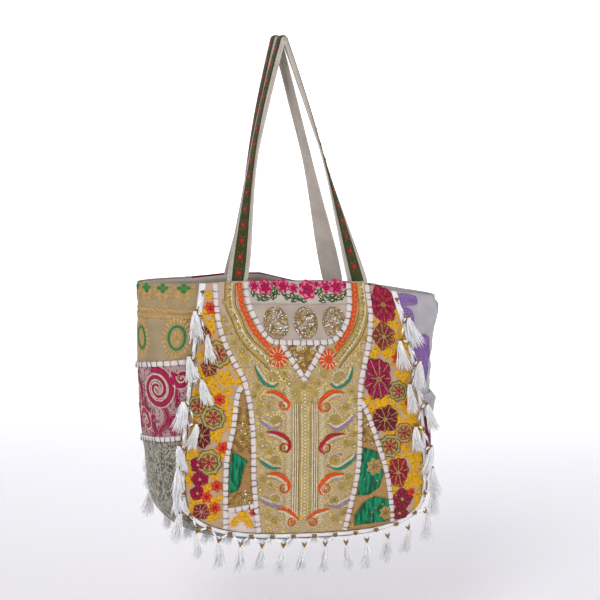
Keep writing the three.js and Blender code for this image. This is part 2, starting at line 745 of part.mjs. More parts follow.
/** Strap stations from the left tail over the hang point to the right tail. */
function strapStations(side, rim, left, right) {
  const leftLeg = legStations(side, rim, left);
  const rightLeg = legStations(side, rim, right);
  const crown = [];
  for (let k = 1; k < BEND_STEPS; k += 1) {
    const angle = Math.PI * (1 - k / BEND_STEPS);
    const place = new THREE.Vector3(
      STRAP_BEND * Math.cos(angle),
      side * STRAP_SPREAD,
      CROWN_Z + STRAP_BEND * Math.sin(angle),
    );
    crown.push({ place, share: 1, leg: k * 2 < BEND_STEPS ? left : right });
  }
  return [...leftLeg, ...crown, ...rightLeg.reverse()];
}

/** Band along a strap: across from low to high, between two heights above the strap's outer face. */
function strapBand(stations, side, low, high, under, over) {
  const yOut = new THREE.Vector3(0, side, 0);
  const hinge = TRIM_WIDTH / 2;
  const rings = stations.map(({ place, share, leg }, k) => {
    const before = stations[Math.max(k - 1, 0)].place;
    const after = stations[Math.min(k + 1, stations.length - 1)].place;
    const along = after.clone().sub(before).normalize();
    const loopOut = new THREE.Vector3(-along.z, 0, along.x).normalize();
    const twist = (Math.PI / 2) * (1 - (1 - share) ** leg.turn);
    const facing = yOut.clone().multiplyScalar(Math.cos(twist)).addScaledVector(loopOut, Math.sin(twist));
    facing.addScaledVector(along, -facing.dot(along)).normalize();
    const across = along.clone().cross(facing).multiplyScalar(-side);
    const fold = FOLD_ANGLE * THREE.MathUtils.smoothstep(share, FOLD_FROM, FOLD_TO);
    const folded = across.clone().multiplyScalar(Math.cos(fold)).addScaledVector(facing, -Math.sin(fold));
    const foldFacing = facing.clone().multiplyScalar(Math.cos(fold)).addScaledVector(across, Math.sin(fold));
    const mitre = facing.clone().add(foldFacing).normalize();
    const spread = 1 / Math.max(mitre.dot(facing), LEAST_LIFT);
    const at = (w, height) => {
      const base = place.clone().addScaledVector(across, Math.min(w, hinge));
      if (w > hinge) {
        return base.addScaledVector(folded, w - hinge).addScaledVector(foldFacing, height);
      }
      const [lift, reach] = w === hinge ? [mitre, height * spread] : [facing, height];
      return base.addScaledVector(lift, reach);
    };
    const columns = high > hinge ? [low, -hinge, hinge, high] : [low, high];
    const outer = columns.map((w) => at(w, over));
    const inner = columns.map((w) => at(w, under)).reverse();
    return [...outer, ...inner];
  });
  return loft(rings);
}

STRAPS.forEach(({ name, side, rim, left, right }) => {
  const stations = strapStations(side, rim, left, right);
  const half = STRAP_WIDTH / 2;
  const face = STRAP_CLOTH / 2;
  addPiece(name, strapBand(stations, side, -half, half, -face, face), 'linen');
  const shown = stations.slice(TAIL_STATIONS, -TAIL_STATIONS);
  const trimLow = face + GAP;
  const trim = strapBand(shown, side, -TRIM_WIDTH / 2, TRIM_WIDTH / 2, trimLow, trimLow + TRIM_CLOTH);
  addPiece(`${name}_trim`, trim, 'trim');
});

// Lining.

/** Closed ring of the lining at a level, set in from the outer cloth. */
function liningRing(level, inset) {
  const below = Math.max(level - CORNER_V, 0) / BOTTOM_DROP;
  const narrowing = (1 - below ** BOTTOM_CURVE) ** (1 / BOTTOM_CURVE);
  const hang = clamp01(1 - level / SAG_REACH);
  const ring = [];
  for (let k = 0; k < LINING_SIDES; k += 1) {
    const angle = (2 * Math.PI * k) / LINING_SIDES;
    const across = Math.sign(Math.cos(angle)) * Math.abs(Math.cos(angle)) ** (2 / LINING_CURVE);
    const deep = Math.sign(Math.sin(angle)) * Math.abs(Math.sin(angle)) ** (2 / LINING_CURVE);
    const side = across < 0 ? 'left' : 'right';
    const s = THREE.MathUtils.clamp(across * LINING_RIM_SPREAD, -1, 1);
    const front = readTable(FRONT_RIM, 's', 'drop', s);
    const back = readTable(BACK_RIM, 's', 'drop', s);
    const v = level + mix(front, back, (deep + 1) / 2) * hang;
    const bulge = readTable(GUSSET_BULGE, 'v', side, v);
    const u = across * ((halfWidth(v) + bulge - LINING_SIDE_IN) * narrowing - inset);
    const sag = GUSSET_RIM_SAG[side] * clamp01((Math.abs(u) - halfWidth(v)) / bulge) + LINING_RIM_DROP;
    ring.push(bagPoint(u, v + sag * hang, deep * (halfDepth(v) - LINING_IN - inset)));
  }
  return ring;
}

const liningOutside = LINING_LEVELS.map((v) => liningRing(v, 0));
const liningInside = LINING_LEVELS.map((v) => {
  return liningRing(v === LINING_BOTTOM_V ? v - LINING_CLOTH : v, LINING_CLOTH);
});
addPiece('lining', loft([...liningInside.reverse(), ...liningOutside]), 'lining');

export default tote;
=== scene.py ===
"""Patchwork tote bag: embroidered cloth, ribbons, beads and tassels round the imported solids."""
import math

import bpy
import numpy as np
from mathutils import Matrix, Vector
from mathutils.geometry import delaunay_2d_cdt

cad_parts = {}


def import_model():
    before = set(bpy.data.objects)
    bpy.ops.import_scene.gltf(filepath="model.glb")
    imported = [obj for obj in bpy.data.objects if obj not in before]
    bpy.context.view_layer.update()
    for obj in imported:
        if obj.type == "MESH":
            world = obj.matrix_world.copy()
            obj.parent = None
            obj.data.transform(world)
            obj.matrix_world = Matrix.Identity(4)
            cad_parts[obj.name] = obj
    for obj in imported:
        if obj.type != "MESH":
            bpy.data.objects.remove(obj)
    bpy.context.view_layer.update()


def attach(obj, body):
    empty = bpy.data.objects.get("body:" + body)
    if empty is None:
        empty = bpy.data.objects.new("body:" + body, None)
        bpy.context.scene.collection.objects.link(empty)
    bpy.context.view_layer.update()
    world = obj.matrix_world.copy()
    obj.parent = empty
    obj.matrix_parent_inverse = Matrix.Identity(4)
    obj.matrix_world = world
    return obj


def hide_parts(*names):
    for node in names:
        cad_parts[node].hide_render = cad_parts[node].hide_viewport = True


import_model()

bl_info = {
    "name": "Patchwork tote bag",
    "version": (1, 0, 0),
    "blender": (4, 5, 0),
    "location": "3D View > Sidebar > Tote",
    "description": "Makes the cloth, embroidery, beads and tassels of a hanging patchwork tote bag",
    "category": "Object",
}

MM = 0.001
SEED = 7

# Body of the bag, in millimetres: u across from the panel's middle, v down from the rim.
PANEL_X, RIM_Z, LEAN = 17.0, -361.0, 0.045
RIM_HALF_WIDTH, BODY_HALF_WIDTH, WIDEST_V, WIDTH_CURVE = 143.0, 187.0, 290.0, 1.7
RIM_HALF_DEPTH, BODY_HALF_DEPTH, DEEPEST_V, DEPTH_CURVE = 40.0, 80.0, 230.0, 2.2
CORNER_V, BOTTOM_DROP, BOTTOM_CURVE, BELLY = 300.0, 77.0, 3.0, 7.0
SEAM_INSET, BOTTOM_BULGE, BULGE_POWER, LEVEL_V, SAG_REACH = 4.6, 22.0, 6, 220.0, 110.0
FRONT_RIM = np.array([(-1, 4), (-0.7, 0.5), (0.66, 0), (1, 14)], float)
BACK_RIM = np.array([(-1, 3), (-0.6, -3), (-0.25, -4), (0.15, 9), (0.6, 8), (1, 13)], float)
# Rows of v, then how far the gusset bulges on the left and on the right.
GUSSET_BULGE = np.array([
    (0, 94, 92), (45, 82, 84), (90, 74, 64), (120, 68, 54), (160, 59, 43), (225, 46, 38), (300, 35, 28),
], float)
GUSSET_SAG = (3.0, 12.0)
GIRTH = 212.0
LEFT, RIGHT = -1, 1

# Sewn lines of the front panel, each from its upper end.
SEAM_LINES = {
    "yoke_left": [(-128, -25), (-131, 45), (-121, 94), (-100, 135), (-95, 149), (-88, 186), (-84, 242),
                  (-83, 300), (-70, 420)],
    "yoke_right": [(106, -25), (109, 40), (103, 84), (89, 136), (83, 172), (83, 224), (80, 282), (68, 344),
                   (50, 420)],
    "wedge_left": [(-95, 149), (-107, 163), (-115, 212), (-126, 276), (-126, 420)],
    "wedge_right": [(83, 172), (97, 199), (112, 240), (132, 308), (142, 420)],
    "neck": [(-82, -25), (-82, 28), (-70, 61), (-55, 83), (-38, 88), (32, 88), (50, 82), (67, 63), (77, 30),
             (79, -25)],
}
STRAIGHT_SEAMS = {
    "rose": [(-81.6, 33), (76.6, 33)],
    "vee": [(-38, 88), (-4, 142), (32, 88)],
    "wedge_hem": [(-126.9, 340), (-79.6, 332)],
}


def mix(a, b, share):
    return a + (b - a) * share


def clamp01(value):
    return np.clip(value, 0.0, 1.0)


def joined(*columns):
    """Points from their columns, any of which may be a single value."""
    return np.stack(np.broadcast_arrays(*columns), -1)


def read_off(at, along, rows):
    """Rows of a table read at places along it."""
    return joined(*(np.interp(at, along, column) for column in rows.T))


def square_to(directions):
    """Flat directions turned by a quarter."""
    return joined(-directions[..., 1], directions[..., 0])


def smooth_step(value, low, high):
    share = clamp01((value - low) / (high - low))
    return share * share * (3 - 2 * share)


def unit(vectors):
    """The same directions, each of length one."""
    return vectors / np.maximum(np.linalg.norm(vectors, axis=-1, keepdims=True), 1e-9)


def rim_drop(rim, s):
    """How far a rim hangs at a share of the half width."""
    return np.interp(s, rim[:, 0], rim[:, 1])


def half_width(v):
    return mix(RIM_HALF_WIDTH, BODY_HALF_WIDTH, 1 - (1 - clamp01(v / WIDEST_V)) ** WIDTH_CURVE)


def half_depth(v):
    return mix(RIM_HALF_DEPTH, BODY_HALF_DEPTH, 1 - (1 - clamp01(v / DEEPEST_V)) ** DEPTH_CURVE)


def bottom_edge(s):
    return CORNER_V + BOTTOM_DROP * np.cbrt(clamp01(1 - np.abs(s) ** BOTTOM_CURVE))


def bag_point(u, v, y):
    """Place in the shared frame, in metres."""
    return joined(PANEL_X + u, y, RIM_Z - v - LEAN * u) * MM


def ripple(u, v):
    """Soft unevenness of the hanging front cloth."""
    slow = np.sin(0.055 * u + 0.021 * v + 0.6) * np.sin(0.043 * v - 0.012 * u)
    quick = np.sin(0.12 * u - 0.05 * v) * np.sin(0.09 * v + 0.05 * u + 1.0)
    return 0.8 * slow + 0.35 * quick


def panel_place(side, rim):
    """Place function of a panel: u, v and a height above its face."""
    def place(u, v, height):
        u, v = np.asarray(u, float), np.asarray(v, float)
        s = np.clip(u / half_width(v), -1, 1)
        top = rim_drop(rim, s)
        t = clamp01((v - top) / (bottom_edge(s) - top))
        calm = smooth_step(1 - np.abs(s), 0.0, 0.12) * smooth_step(1 - t, 0.0, 0.1)
        belly = BELLY * (1 - s * s) * np.sin(np.pi * t)
        return bag_point(u, v, side * (half_depth(v) + belly + height + calm * ripple(u, v)))
    return place


def spline(points, steps):
    """Smooth line through points, with equal steps between each two."""
    points = np.asarray(points, float)
    parts = []
    for k in range(len(points) - 1):
        before, start = points[max(k - 1, 0)], points[k]
        end, after = points[k + 1], points[min(k + 2, len(points) - 1)]
        t = np.arange(steps)[:, None] / steps
        leave, arrive = (end - before) / 2, (after - start) / 2
        cubic = 2 * start - 2 * end + leave + arrive
        square = -3 * start + 3 * end - 2 * leave - arrive
        parts.append(((cubic * t + square) * t + leave) * t + start)
    return np.concatenate([*parts, points[-1:]])


def lengths(points):
    """Distance along a line at each of its points."""
    steps = np.linalg.norm(np.diff(points, axis=0), axis=1)
    return np.concatenate([[0.0], np.cumsum(steps)])


def even(points, step):
    """The same line with points a step apart."""
    points = np.asarray(points, float)
    along = lengths(points)
    count = max(int(round(along[-1] / step)), 1)
    wanted = np.linspace(0, along[-1], count + 1)
    return read_off(wanted, along, points)


def sideways(path):
    """Unit directions square to a flat line."""
    return square_to(unit(np.gradient(path, axis=0)))


class Seam:
    """Outline of a panel, from its left rim round the bottom to its right rim."""

    STEPS = 9

    def __init__(self, rim):
        n = self.STEPS
        left = [mix(rim[0, 1], CORNER_V, k / n) for k in range(n)]
        right = [mix(rim[-1, 1], CORNER_V, k / n) for k in range(n - 1, -1, -1)]
        turns = [math.sin(math.pi * (k / (2 * n) - 0.5)) for k in range(2 * n + 1)]
        points = [(-half_width(v), v) for v in left]
        points += [(s * half_width(CORNER_V), bottom_edge(s)) for s in turns]
        points += [(half_width(v), v) for v in right]
        self.line = spline(points, 60)
        along = lengths(self.line)
        self.length = along[-1]
        self.share = along / self.length
        self.tangent = unit(np.gradient(self.line, along, axis=0))

    def frame(self, q):
        """Place at a share of the seam and the outward direction there."""
        q = np.asarray(q, float)
        point = read_off(q, self.share, self.line)
        square = square_to(read_off(q, self.share, self.tangent))
        level = joined(np.sign(q - 0.5), 0.0)
        outward = mix(level, square, smooth_step(point[..., 1], LEVEL_V, CORNER_V)[..., None])
        return point, unit(outward)

    def at_drop(self, side, v):
        """Share of the seam at a drop on its left or right side."""
        half = len(self.line) // 2
        if side == LEFT:
            return np.interp(v, self.line[:half, 1], self.share[:half])
        return np.interp(v, self.line[half:, 1][::-1], self.share[half:][::-1])


FRONT_SEAM, BACK_SEAM = Seam(FRONT_RIM), Seam(BACK_RIM)


def side_bulge(u, v):
    """How far the gusset bulges at a drop, on the left where u is negative."""
    left, right = (np.interp(v, GUSSET_BULGE[:, 0], column) for column in GUSSET_BULGE.T[1:])
    return np.where(u < 0, left, right)


def gusset_bulge(u, v):
    share = np.where(v < CORNER_V, 1.0, np.abs(u / BODY_HALF_WIDTH) ** BULGE_POWER)
    return mix(BOTTOM_BULGE, side_bulge(u, v), share)


def gusset_point(q, w, height, rise=0.0):
    """Place on the gusset: q along the seam, w across from the front seam to the back one."""
    q, w = np.broadcast_arrays(np.asarray(q, float), np.asarray(w, float))
    front, front_out = FRONT_SEAM.frame(q)
    back, back_out = BACK_SEAM.frame(q)
    at = mix(front, back, w[..., None])
    out = unit(mix(front_out, back_out, w[..., None]))
    u, v = at[..., 0], at[..., 1]
    swell = np.sin(np.pi * w)
    sag = np.where(u < 0, *GUSSET_SAG)
    reach = (gusset_bulge(u, v) + height + rise * swell ** 2) * swell
    slip = sag * swell * clamp01(1 - v / SAG_REACH)
    depth = (half_depth(v) - SEAM_INSET + height) * np.cos(np.pi * w)
    return bag_point(u + out[..., 0] * reach, v + out[..., 1] * reach + slip, -depth)


def crumple(side, x, v):
    """Folds of the gusset cloth: slight on the left, deep in the silk on the right."""
    soft = np.sin(0.045 * v + 0.03 * x + 0.5) * np.sin(0.05 * x + 0.4)
    sharp = np.abs(np.sin(0.038 * v + 0.055 * x + 0.8 * np.sin(0.03 * x - 0.05 * v))) - 0.6
    fine = np.sin(0.16 * v - 0.11 * x) * np.sin(0.09 * v + 0.13 * x)
    deep = 3.4 * sharp + 1.0 * fine if side == RIGHT else 1.7 * soft + 0.5 * fine
    return deep * np.sin(np.pi * clamp01(x / GIRTH)) * smooth_step(v, 0, 14)


def gusset_place(side):
    """Place function of one side of the gusset: x from the front seam, v and a height."""
    def place(x, v, height):
        x, v = np.asarray(x, float), np.asarray(v, float)
        return gusset_point(FRONT_SEAM.at_drop(side, v), x / GIRTH, height + crumple(side, x, v))
    return place


PLACE_FRONT = panel_place(-1, FRONT_RIM)
PLACE_BACK = panel_place(1, BACK_RIM)
PLACE_LEFT = gusset_place(LEFT)
PLACE_RIGHT = gusset_place(RIGHT)


def seam_line(name):
    """Close points along a sewn line."""
    if name in STRAIGHT_SEAMS:
        return np.array(STRAIGHT_SEAMS[name], float)
    return spline(SEAM_LINES[name], 12)


def srgb(red, green, blue):
    """Colour read as 0 to 255 on screen, in linear light."""
    shares = (channel / 255 for channel in (red, green, blue))
    return tuple(((c + 0.055) / 1.055) ** 2.4 if c > 0.04045 else c / 12.92 for c in shares)


# Colours of the cloths, threads and beads: name shown, screen colour.
COLOURS = {
    "greige": ("Greige linen", (196, 186, 172)), "bib": ("Bib linen", (186, 170, 156)),
    "blush": ("Blush cotton", (218, 198, 190)), "gold": ("Gold thread", (202, 174, 94)),
    "cream": ("Cream thread", (240, 228, 196)), "old_gold": ("Old gold cloth", (182, 138, 82)),
    "emerald": ("Emerald satin", (0, 112, 76)),
    "yoke": ("Yoke cotton", (192, 170, 152)), "sand": ("Sand cotton", (194, 164, 134)),
    "taupe": ("Taupe cloth", (166, 148, 116)),
    "tan": ("Tan thread", (204, 166, 104)), "mauve": ("Mauve ground", (184, 150, 150)),
    "damask": ("Grey damask", (88, 88, 80)), "ash": ("Ash figure", (150, 144, 126)),
    "teal_cloth": ("Teal cloth", (104, 132, 126)), "maroon": ("Maroon cloth", (118, 18, 48)),
    "silver": ("Silver silk", (192, 187, 193)), "ribbon": ("Ribbon", (228, 216, 212)),
    "linen": ("Strap linen", (194, 184, 173)), "lining": ("Lining", (196, 186, 172)),
    "olive": ("Olive trim", (58, 68, 30)), "white": ("White cotton", (243, 242, 242)),
    "brass": ("Brass beads", (156, 114, 52)), "indigo": ("Indigo stitches", (52, 46, 84)),
    "orange": ("Orange thread", (234, 84, 24)), "yellow": ("Yellow thread", (238, 178, 10)),
    "teal": ("Teal thread", (36, 138, 120)), "lavender": ("Lavender thread", (160, 138, 190)),
    "purple": ("Purple silk", (158, 108, 186)), "red": ("Red thread", (184, 28, 46)),
    "magenta": ("Magenta thread", (170, 10, 76)), "pink": ("Rose thread", (214, 22, 88)),
    "blush_pink": ("Pale rose thread", (236, 120, 160)), "leaf": ("Leaf thread", (62, 84, 56)),
    "green": ("Green thread", (40, 138, 58)), "lime": ("Lime thread", (166, 178, 100)),
    "rust": ("Rust thread", (156, 72, 48)), "plum": ("Plum thread", (118, 22, 42)),
}


def colour_property(key):
    shown, screen = COLOURS[key]
    return bpy.props.FloatVectorProperty(
        name=shown, description=f"Colour of the {shown.lower()}", subtype="COLOR", min=0, max=1,
        default=srgb(*screen),
    )


class ToteColours(bpy.types.PropertyGroup):
    """Colours of the bag's cloths, threads and beads."""

    __annotations__ = {key: colour_property(key) for key in COLOURS}


def length_property(shown, description, millimetres):
    return bpy.props.FloatProperty(
        name=shown, description=description, default=millimetres * MM, min=0, unit="LENGTH", precision=4,
    )


class ToteSizes(bpy.types.PropertyGroup):
    """Sizes that a maker would change."""

    cloth: length_property("Cloth", "Thickness of the outer cloth", 2.0)
    ribbon_cell: length_property("Ribbon puff", "Length of ribbon between two stitches", 10.6)
    ribbon_half: length_property("Ribbon half width", "Half the width of the sewn ribbons", 4.0)
    stitch: length_property("Stitch", "Length of a blanket stitch", 11.5)
    stitch_thread: length_property("Stitch thread", "Radius of the stitching thread", 0.5)
    gold_cord: length_property("Gold cord", "Radius of the couched gold cord", 0.72)
    sequin: length_property("Sequin", "Radius of a sequin", 1.35)
    brass_bead: length_property("Brass bead", "Radius of a brass bead", 1.9)
    tube_bead: length_property("Tube bead", "Length of a white tube bead", 7.2)
    tassel: length_property("Tassel", "Length of a tassel's skirt", 40.0)
    tassel_threads: bpy.props.IntProperty(
        name="Tassel threads", description="Threads in each tassel", default=54, min=8, max=80,
    )


def sizes():
    return bpy.context.scene.tote_sizes


def colour(key):
    return (*getattr(bpy.context.scene.tote_colours, key), 1.0)


def add_object(name, data):
    """New object in the scene, at the origin."""
    made = bpy.data.objects.new(name, data)
    bpy.context.scene.collection.objects.link(made)
    return made


def set_attribute(mesh, name, values):
    """Gives each point of a mesh a number or three."""
    kind, field = ("FLOAT_VECTOR", "vector") if values.ndim == 2 else ("FLOAT", "value")
    mesh.attributes.new(name, kind, "POINT").data.foreach_set(field, values.astype(np.float32).ravel())


def make_mesh(name, points, faces, lay=None):
    """Object at the origin from points in metres; lay holds each point's millimetres on its cloth."""
    mesh = bpy.data.meshes.new(name)
    points = np.asarray(points, np.float32).reshape(-1, 3)
    totals = np.fromiter((len(face) for face in faces), np.int32, len(faces))
    loops = np.fromiter((k for face in faces for k in face), np.int32, int(totals.sum()))
    mesh.vertices.add(len(points))
    mesh.vertices.foreach_set("co", points.ravel())
    mesh.loops.add(len(loops))
    mesh.loops.foreach_set("vertex_index", loops)
    mesh.polygons.add(len(faces))
    mesh.polygons.foreach_set("loop_start", np.concatenate([[0], np.cumsum(totals)[:-1]]).astype(np.int32))
    mesh.polygons.foreach_set("use_smooth", np.full(len(faces), True))
    if lay is not None:
        set_attribute(mesh, "lay", np.pad(np.reshape(lay, (-1, 2)), ((0, 0), (0, 1))))
    mesh.update(calc_edges=True)
    mesh.validate()
    return add_object(name, mesh)


def grid_faces(rows, columns, start=0, flip=False):
    """Four-sided faces of a grid of points, row after row."""
    r, c = np.meshgrid(np.arange(rows - 1), np.arange(columns - 1), indexing="ij")
    a = (start + r * columns + c).ravel()
    quads = joined(a, a + 1, a + columns + 1, a + columns)
    return quads[:, ::-1].tolist() if flip else quads.tolist()


def ring_faces(rings, sides):
    """Four-sided faces between rings of points that follow each other."""
    r, k = np.meshgrid(np.arange(rings - 1), np.arange(sides), indexing="ij")
    near, beside = (r * sides + k).ravel(), (r * sides + (k + 1) % sides).ravel()
    return joined(near, beside, beside + sides, near + sides).tolist()


def tube_faces(rings, sides):
    """Faces of a tube of rings, closed at both ends."""
    last = (rings - 1) * sides
    return ring_faces(rings, sides) + [list(range(sides))[::-1], list(range(last, last + sides))]


def wall_faces(loop, under):
    """Faces between a border loop of the outer side and the same points of the inner side."""
    return [[a, a + under, b + under, b] for a, b in zip(loop, np.roll(loop, -1))]


def make_sheet(name, outer, inner, lay):
    """Closed cloth from two grids of points, outer side first."""
    rows, columns = outer.shape[:2]
    count = rows * columns
    index = np.arange(count).reshape(rows, columns)
    loop = np.concatenate([index[0], index[1:, -1], index[-1, -2::-1], index[-2:0:-1, 0]])
    faces = grid_faces(rows, columns) + grid_faces(rows, columns, count, flip=True)
    faces += wall_faces(loop, count)
    return face_out(make_mesh(name, np.concatenate([outer, inner]), faces, np.concatenate([lay, lay])))


def make_tube(name, rings, lay=None):
    """Closed tube from rings of points."""
    return face_out(make_mesh(name, rings, tube_faces(*rings.shape[:2]), lay))


def face_out(piece):
    """Turns a closed piece's faces outward."""
    mesh = piece.data
    mesh.calc_loop_triangles()
    points = np.empty(len(mesh.vertices) * 3, np.float32)
    mesh.vertices.foreach_get("co", points)
    corners = np.empty(len(mesh.loop_triangles) * 3, np.int32)
    mesh.loop_triangles.foreach_get("vertices", corners)
    a, b, c = (points.reshape(-1, 3)[corners.reshape(-1, 3)[:, k]].astype(float) for k in range(3))
    if (a * np.cross(b, c)).sum() < 0:
        mesh.flip_normals()
    return piece


def finish_piece(piece, material, slot, *nodes):
    """Gives a piece its material and hides the solids that it stands for; the slot is not used."""
    piece.data.materials.clear()
    piece.data.materials.append(material)
    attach(piece, "root")
    if nodes:
        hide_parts(*nodes)
    return piece


# Materials.

def node(tree, kind, inputs=None, **settings):
    """New node with its settings and plain inputs; a socket given as input is linked."""
    made = tree.nodes.new(kind)
    for key, value in settings.items():
        setattr(made, key, value)
    for key, value in (inputs or {}).items():
        if isinstance(value, bpy.types.NodeSocket):
            tree.links.new(value, made.inputs[key])
        else:
            made.inputs[key].default_value = value
    return made


def maths(tree, operation, *values):
    return node(tree, "ShaderNodeMath", dict(enumerate(values)), operation=operation).outputs[0]


def shade(key, factor):
    return (*(min(channel * factor, 1.0) for channel in colour(key)[:3]), 1.0)


class Finish:
    """Material under way, with short calls for the nodes that it is made of."""

    def __init__(self, name, roughness, metallic=0.0, sheen=0.0):
        self.material = bpy.data.materials.new(name)
        self.material.use_nodes = True
        self.tree = self.material.node_tree
        self.sockets = self.tree.nodes["Principled BSDF"].inputs
        self.sockets["Roughness"].default_value = roughness
        self.sockets["Metallic"].default_value = metallic
        self.sockets["Specular IOR Level"].default_value = 0.25
        self.sockets["Sheen Weight"].default_value = sheen
        self.sockets["Sheen Roughness"].default_value = 0.5

    def node(self, kind, inputs=None, **settings):
        return node(self.tree, kind, inputs, **settings)

    def lay(self):
        """Millimetres on the cloth."""
        return self.node("ShaderNodeAttribute", attribute_name="lay").outputs["Vector"]

    def place(self):
        return self.node("ShaderNodeTexCoord").outputs["Object"]

    def down(self, lay):
        return self.node("ShaderNodeSeparateXYZ", {0: lay}).outputs[1]

    def times(self, first, second):
        return maths(self.tree, "MULTIPLY", first, second)

    def plus(self, first, second):
        return maths(self.tree, "ADD", first, second)

    def blend(self, share, first, second):
        return self.node("ShaderNodeMix", {0: share, 6: first, 7: second}, data_type="RGBA").outputs[2]

    def ramp(self, value, low, high):
        """Zero below low, one above high."""
        limits = {"Value": value, "From Min": low, "From Max": high}
        return self.node("ShaderNodeMapRange", limits, interpolation_type="SMOOTHSTEP").outputs[0]

    def tone(self, value, low, high, first, second):
        """The first colour where a value is below low, the second where it is above high."""
        return self.blend(self.ramp(value, low, high), first, second)

    def noise(self, vector, scale, detail=3.0):
        inputs = {"Vector": vector, "Scale": scale, "Detail": detail}
        return self.node("ShaderNodeTexNoise", inputs).outputs[0]

    def bands(self, vector, period, direction):
        """Soft stripes a period apart along one direction."""
        wave = {"Vector": vector, "Scale": math.pi / 10 / period, "Distortion": 0.6, "Detail": 1.0,
                "Detail Scale": 0.7}
        return self.node("ShaderNodeTexWave", wave, bands_direction=direction).outputs["Fac"]

    def weave(self, lay, pitch):
        """Threads both ways."""
        return self.times(self.bands(lay, pitch, "X"), self.bands(lay, pitch, "Y"))

    def link(self, socket, value):
        self.tree.links.new(value, self.sockets[socket])

    def done(self, seen, height, strength, depth):
        """The material with its colour and its relief; depth in millimetres."""
        bump = self.node("ShaderNodeBump", {"Height": height, "Strength": strength, "Distance": depth * MM})
        self.link("Base Color", seen)
        self.link("Normal", bump.outputs[0])
        return self.material


def cloth_finish(name, key, pitch=0.9, roughness=0.9, sheen=0.06, wear=0.22, depth=0.25, fold=0.0):
    """Woven cloth: threads both ways, uneven dye and a little wear."""
    cloth = Finish(name, roughness, sheen=sheen)
    lay = cloth.lay()
    weave = cloth.weave(lay, pitch)
    drawn = cloth.node("ShaderNodeMapping", {"Vector": lay, "Scale": (0.9, 0.08, 1)}).outputs[0]
    dye = cloth.tone(cloth.noise(lay, 0.035, 4.0), 0.3, 0.72, shade(key, 1 - wear), shade(key, 1 + wear / 2))
    thread = cloth.blend(cloth.times(weave, 0.45), shade(key, 0.72), shade(key, 1.1))
    height = cloth.plus(weave, cloth.times(cloth.noise(drawn, 1.0), 0.8))
    if fold:
        height = cloth.plus(height, cloth.times(cloth.noise(lay, 0.09, 5.0), fold))
    return cloth.done(cloth.blend(0.45, dye, thread), height, 0.6, depth)


def thread_finish(name, key):
    """Satin stitches: threads laid side by side across the shape, with painted shade in the gaps between
    them.
    """
    floss = Finish(name, 0.55, sheen=0.03)
    strands = floss.bands(floss.lay(), 0.85, "X")
    light = floss.tone(floss.noise(floss.place(), 260.0, 2.0), 0.3, 0.7, shade(key, 0.76), shade(key, 1.16))
    # Where the strands part the colour falls to half: painted shade between the threads. Elsewhere it is the
    # thread's own colour, uneven at random.
    return floss.done(floss.tone(strands, 0.0, 0.4, shade(key, 0.5), light), strands, 0.8, 0.3)


def floss_finishes(*keys):
    """Finish of each floss, made once and shared."""
    return {key: bpy.data.materials.get(f"{key}_floss") or thread_finish(f"{key}_floss", key) for key in keys}


def metal_thread_finish(name, key, roughness=0.4, metallic=0.25, grain=1700.0):
    """Metal-wrapped thread: fine turns that glint by their relief, with painted shade between them."""
    metal = Finish(name, roughness, metallic)
    place = metal.place()
    turns = metal.noise(place, grain, 2.0)
    body = metal.tone(metal.noise(place, 70.0), 0.3, 0.7, shade(key, 0.85), shade(key, 1.3))
    # The low places of the fine grain are painted shade at half the colour. The body's tone is uneven at
    # random.
    return metal.done(metal.tone(turns, 0.35, 0.65, shade(key, 0.5), body), turns, 0.7, 0.25)


def worked_ground_finish(name, ground, metal, curl, cover, bare=(-2.0, -1.0)):
    """Cloth covered by small couched curls of metal thread, from the drop where its bare part ends, with a
    painted shadow round each curl and painted glints on it.
    """
    work = Finish(name, 0.6, sheen=0.1)
    lay = work.lay()
    swirl = work.node("ShaderNodeTexNoise", {"Vector": lay, "Scale": 0.11, "Detail": 2.0}).outputs["Color"]
    drift = work.node("ShaderNodeVectorMath", {0: swirl, "Scale": 3.0}, operation="SCALE").outputs[0]
    bent = work.node("ShaderNodeVectorMath", {0: lay, 1: drift}, operation="ADD").outputs[0]
    cells = work.node("ShaderNodeTexVoronoi", {"Vector": bent, "Scale": 1 / curl}).outputs["Distance"]
    wave = maths(work.tree, "SINE", work.times(cells, 6 * math.pi))
    worked = work.ramp(work.down(lay), *bare)
    cord = work.times(worked, work.ramp(wave, cover - 0.6, cover))
    # Painted shadow: edge marks a dark rim in the cloth just round each curl, laid over the cloth below.
    edge = work.times(worked, work.ramp(wave, cover - 1.3, cover - 0.5))
    # Painted glints: fine spots of the metal's colour made brighter on the curls. The same noise also
    # roughens their relief.
    glint = work.noise(work.place(), 900.0, 2.0)
    painted_glint = work.tone(glint, 0.35, 0.7, shade(metal, 0.7), shade(metal, 1.4))
    cloth = work.blend(work.weave(lay, 0.9), shade(ground, 0.8), shade(ground, 1.0))
    cloth = work.blend(edge, cloth, shade(metal, 0.3))
    work.link("Metallic", work.times(cord, 0.2))
    work.link("Roughness", maths(work.tree, "SUBTRACT", 0.85, work.times(cord, 0.45)))
    return work.done(work.blend(cord, cloth, painted_glint), work.plus(cord, work.times(glint, 0.5)), 0.9, 0.7)


FIGURE_SIZE = 18.0


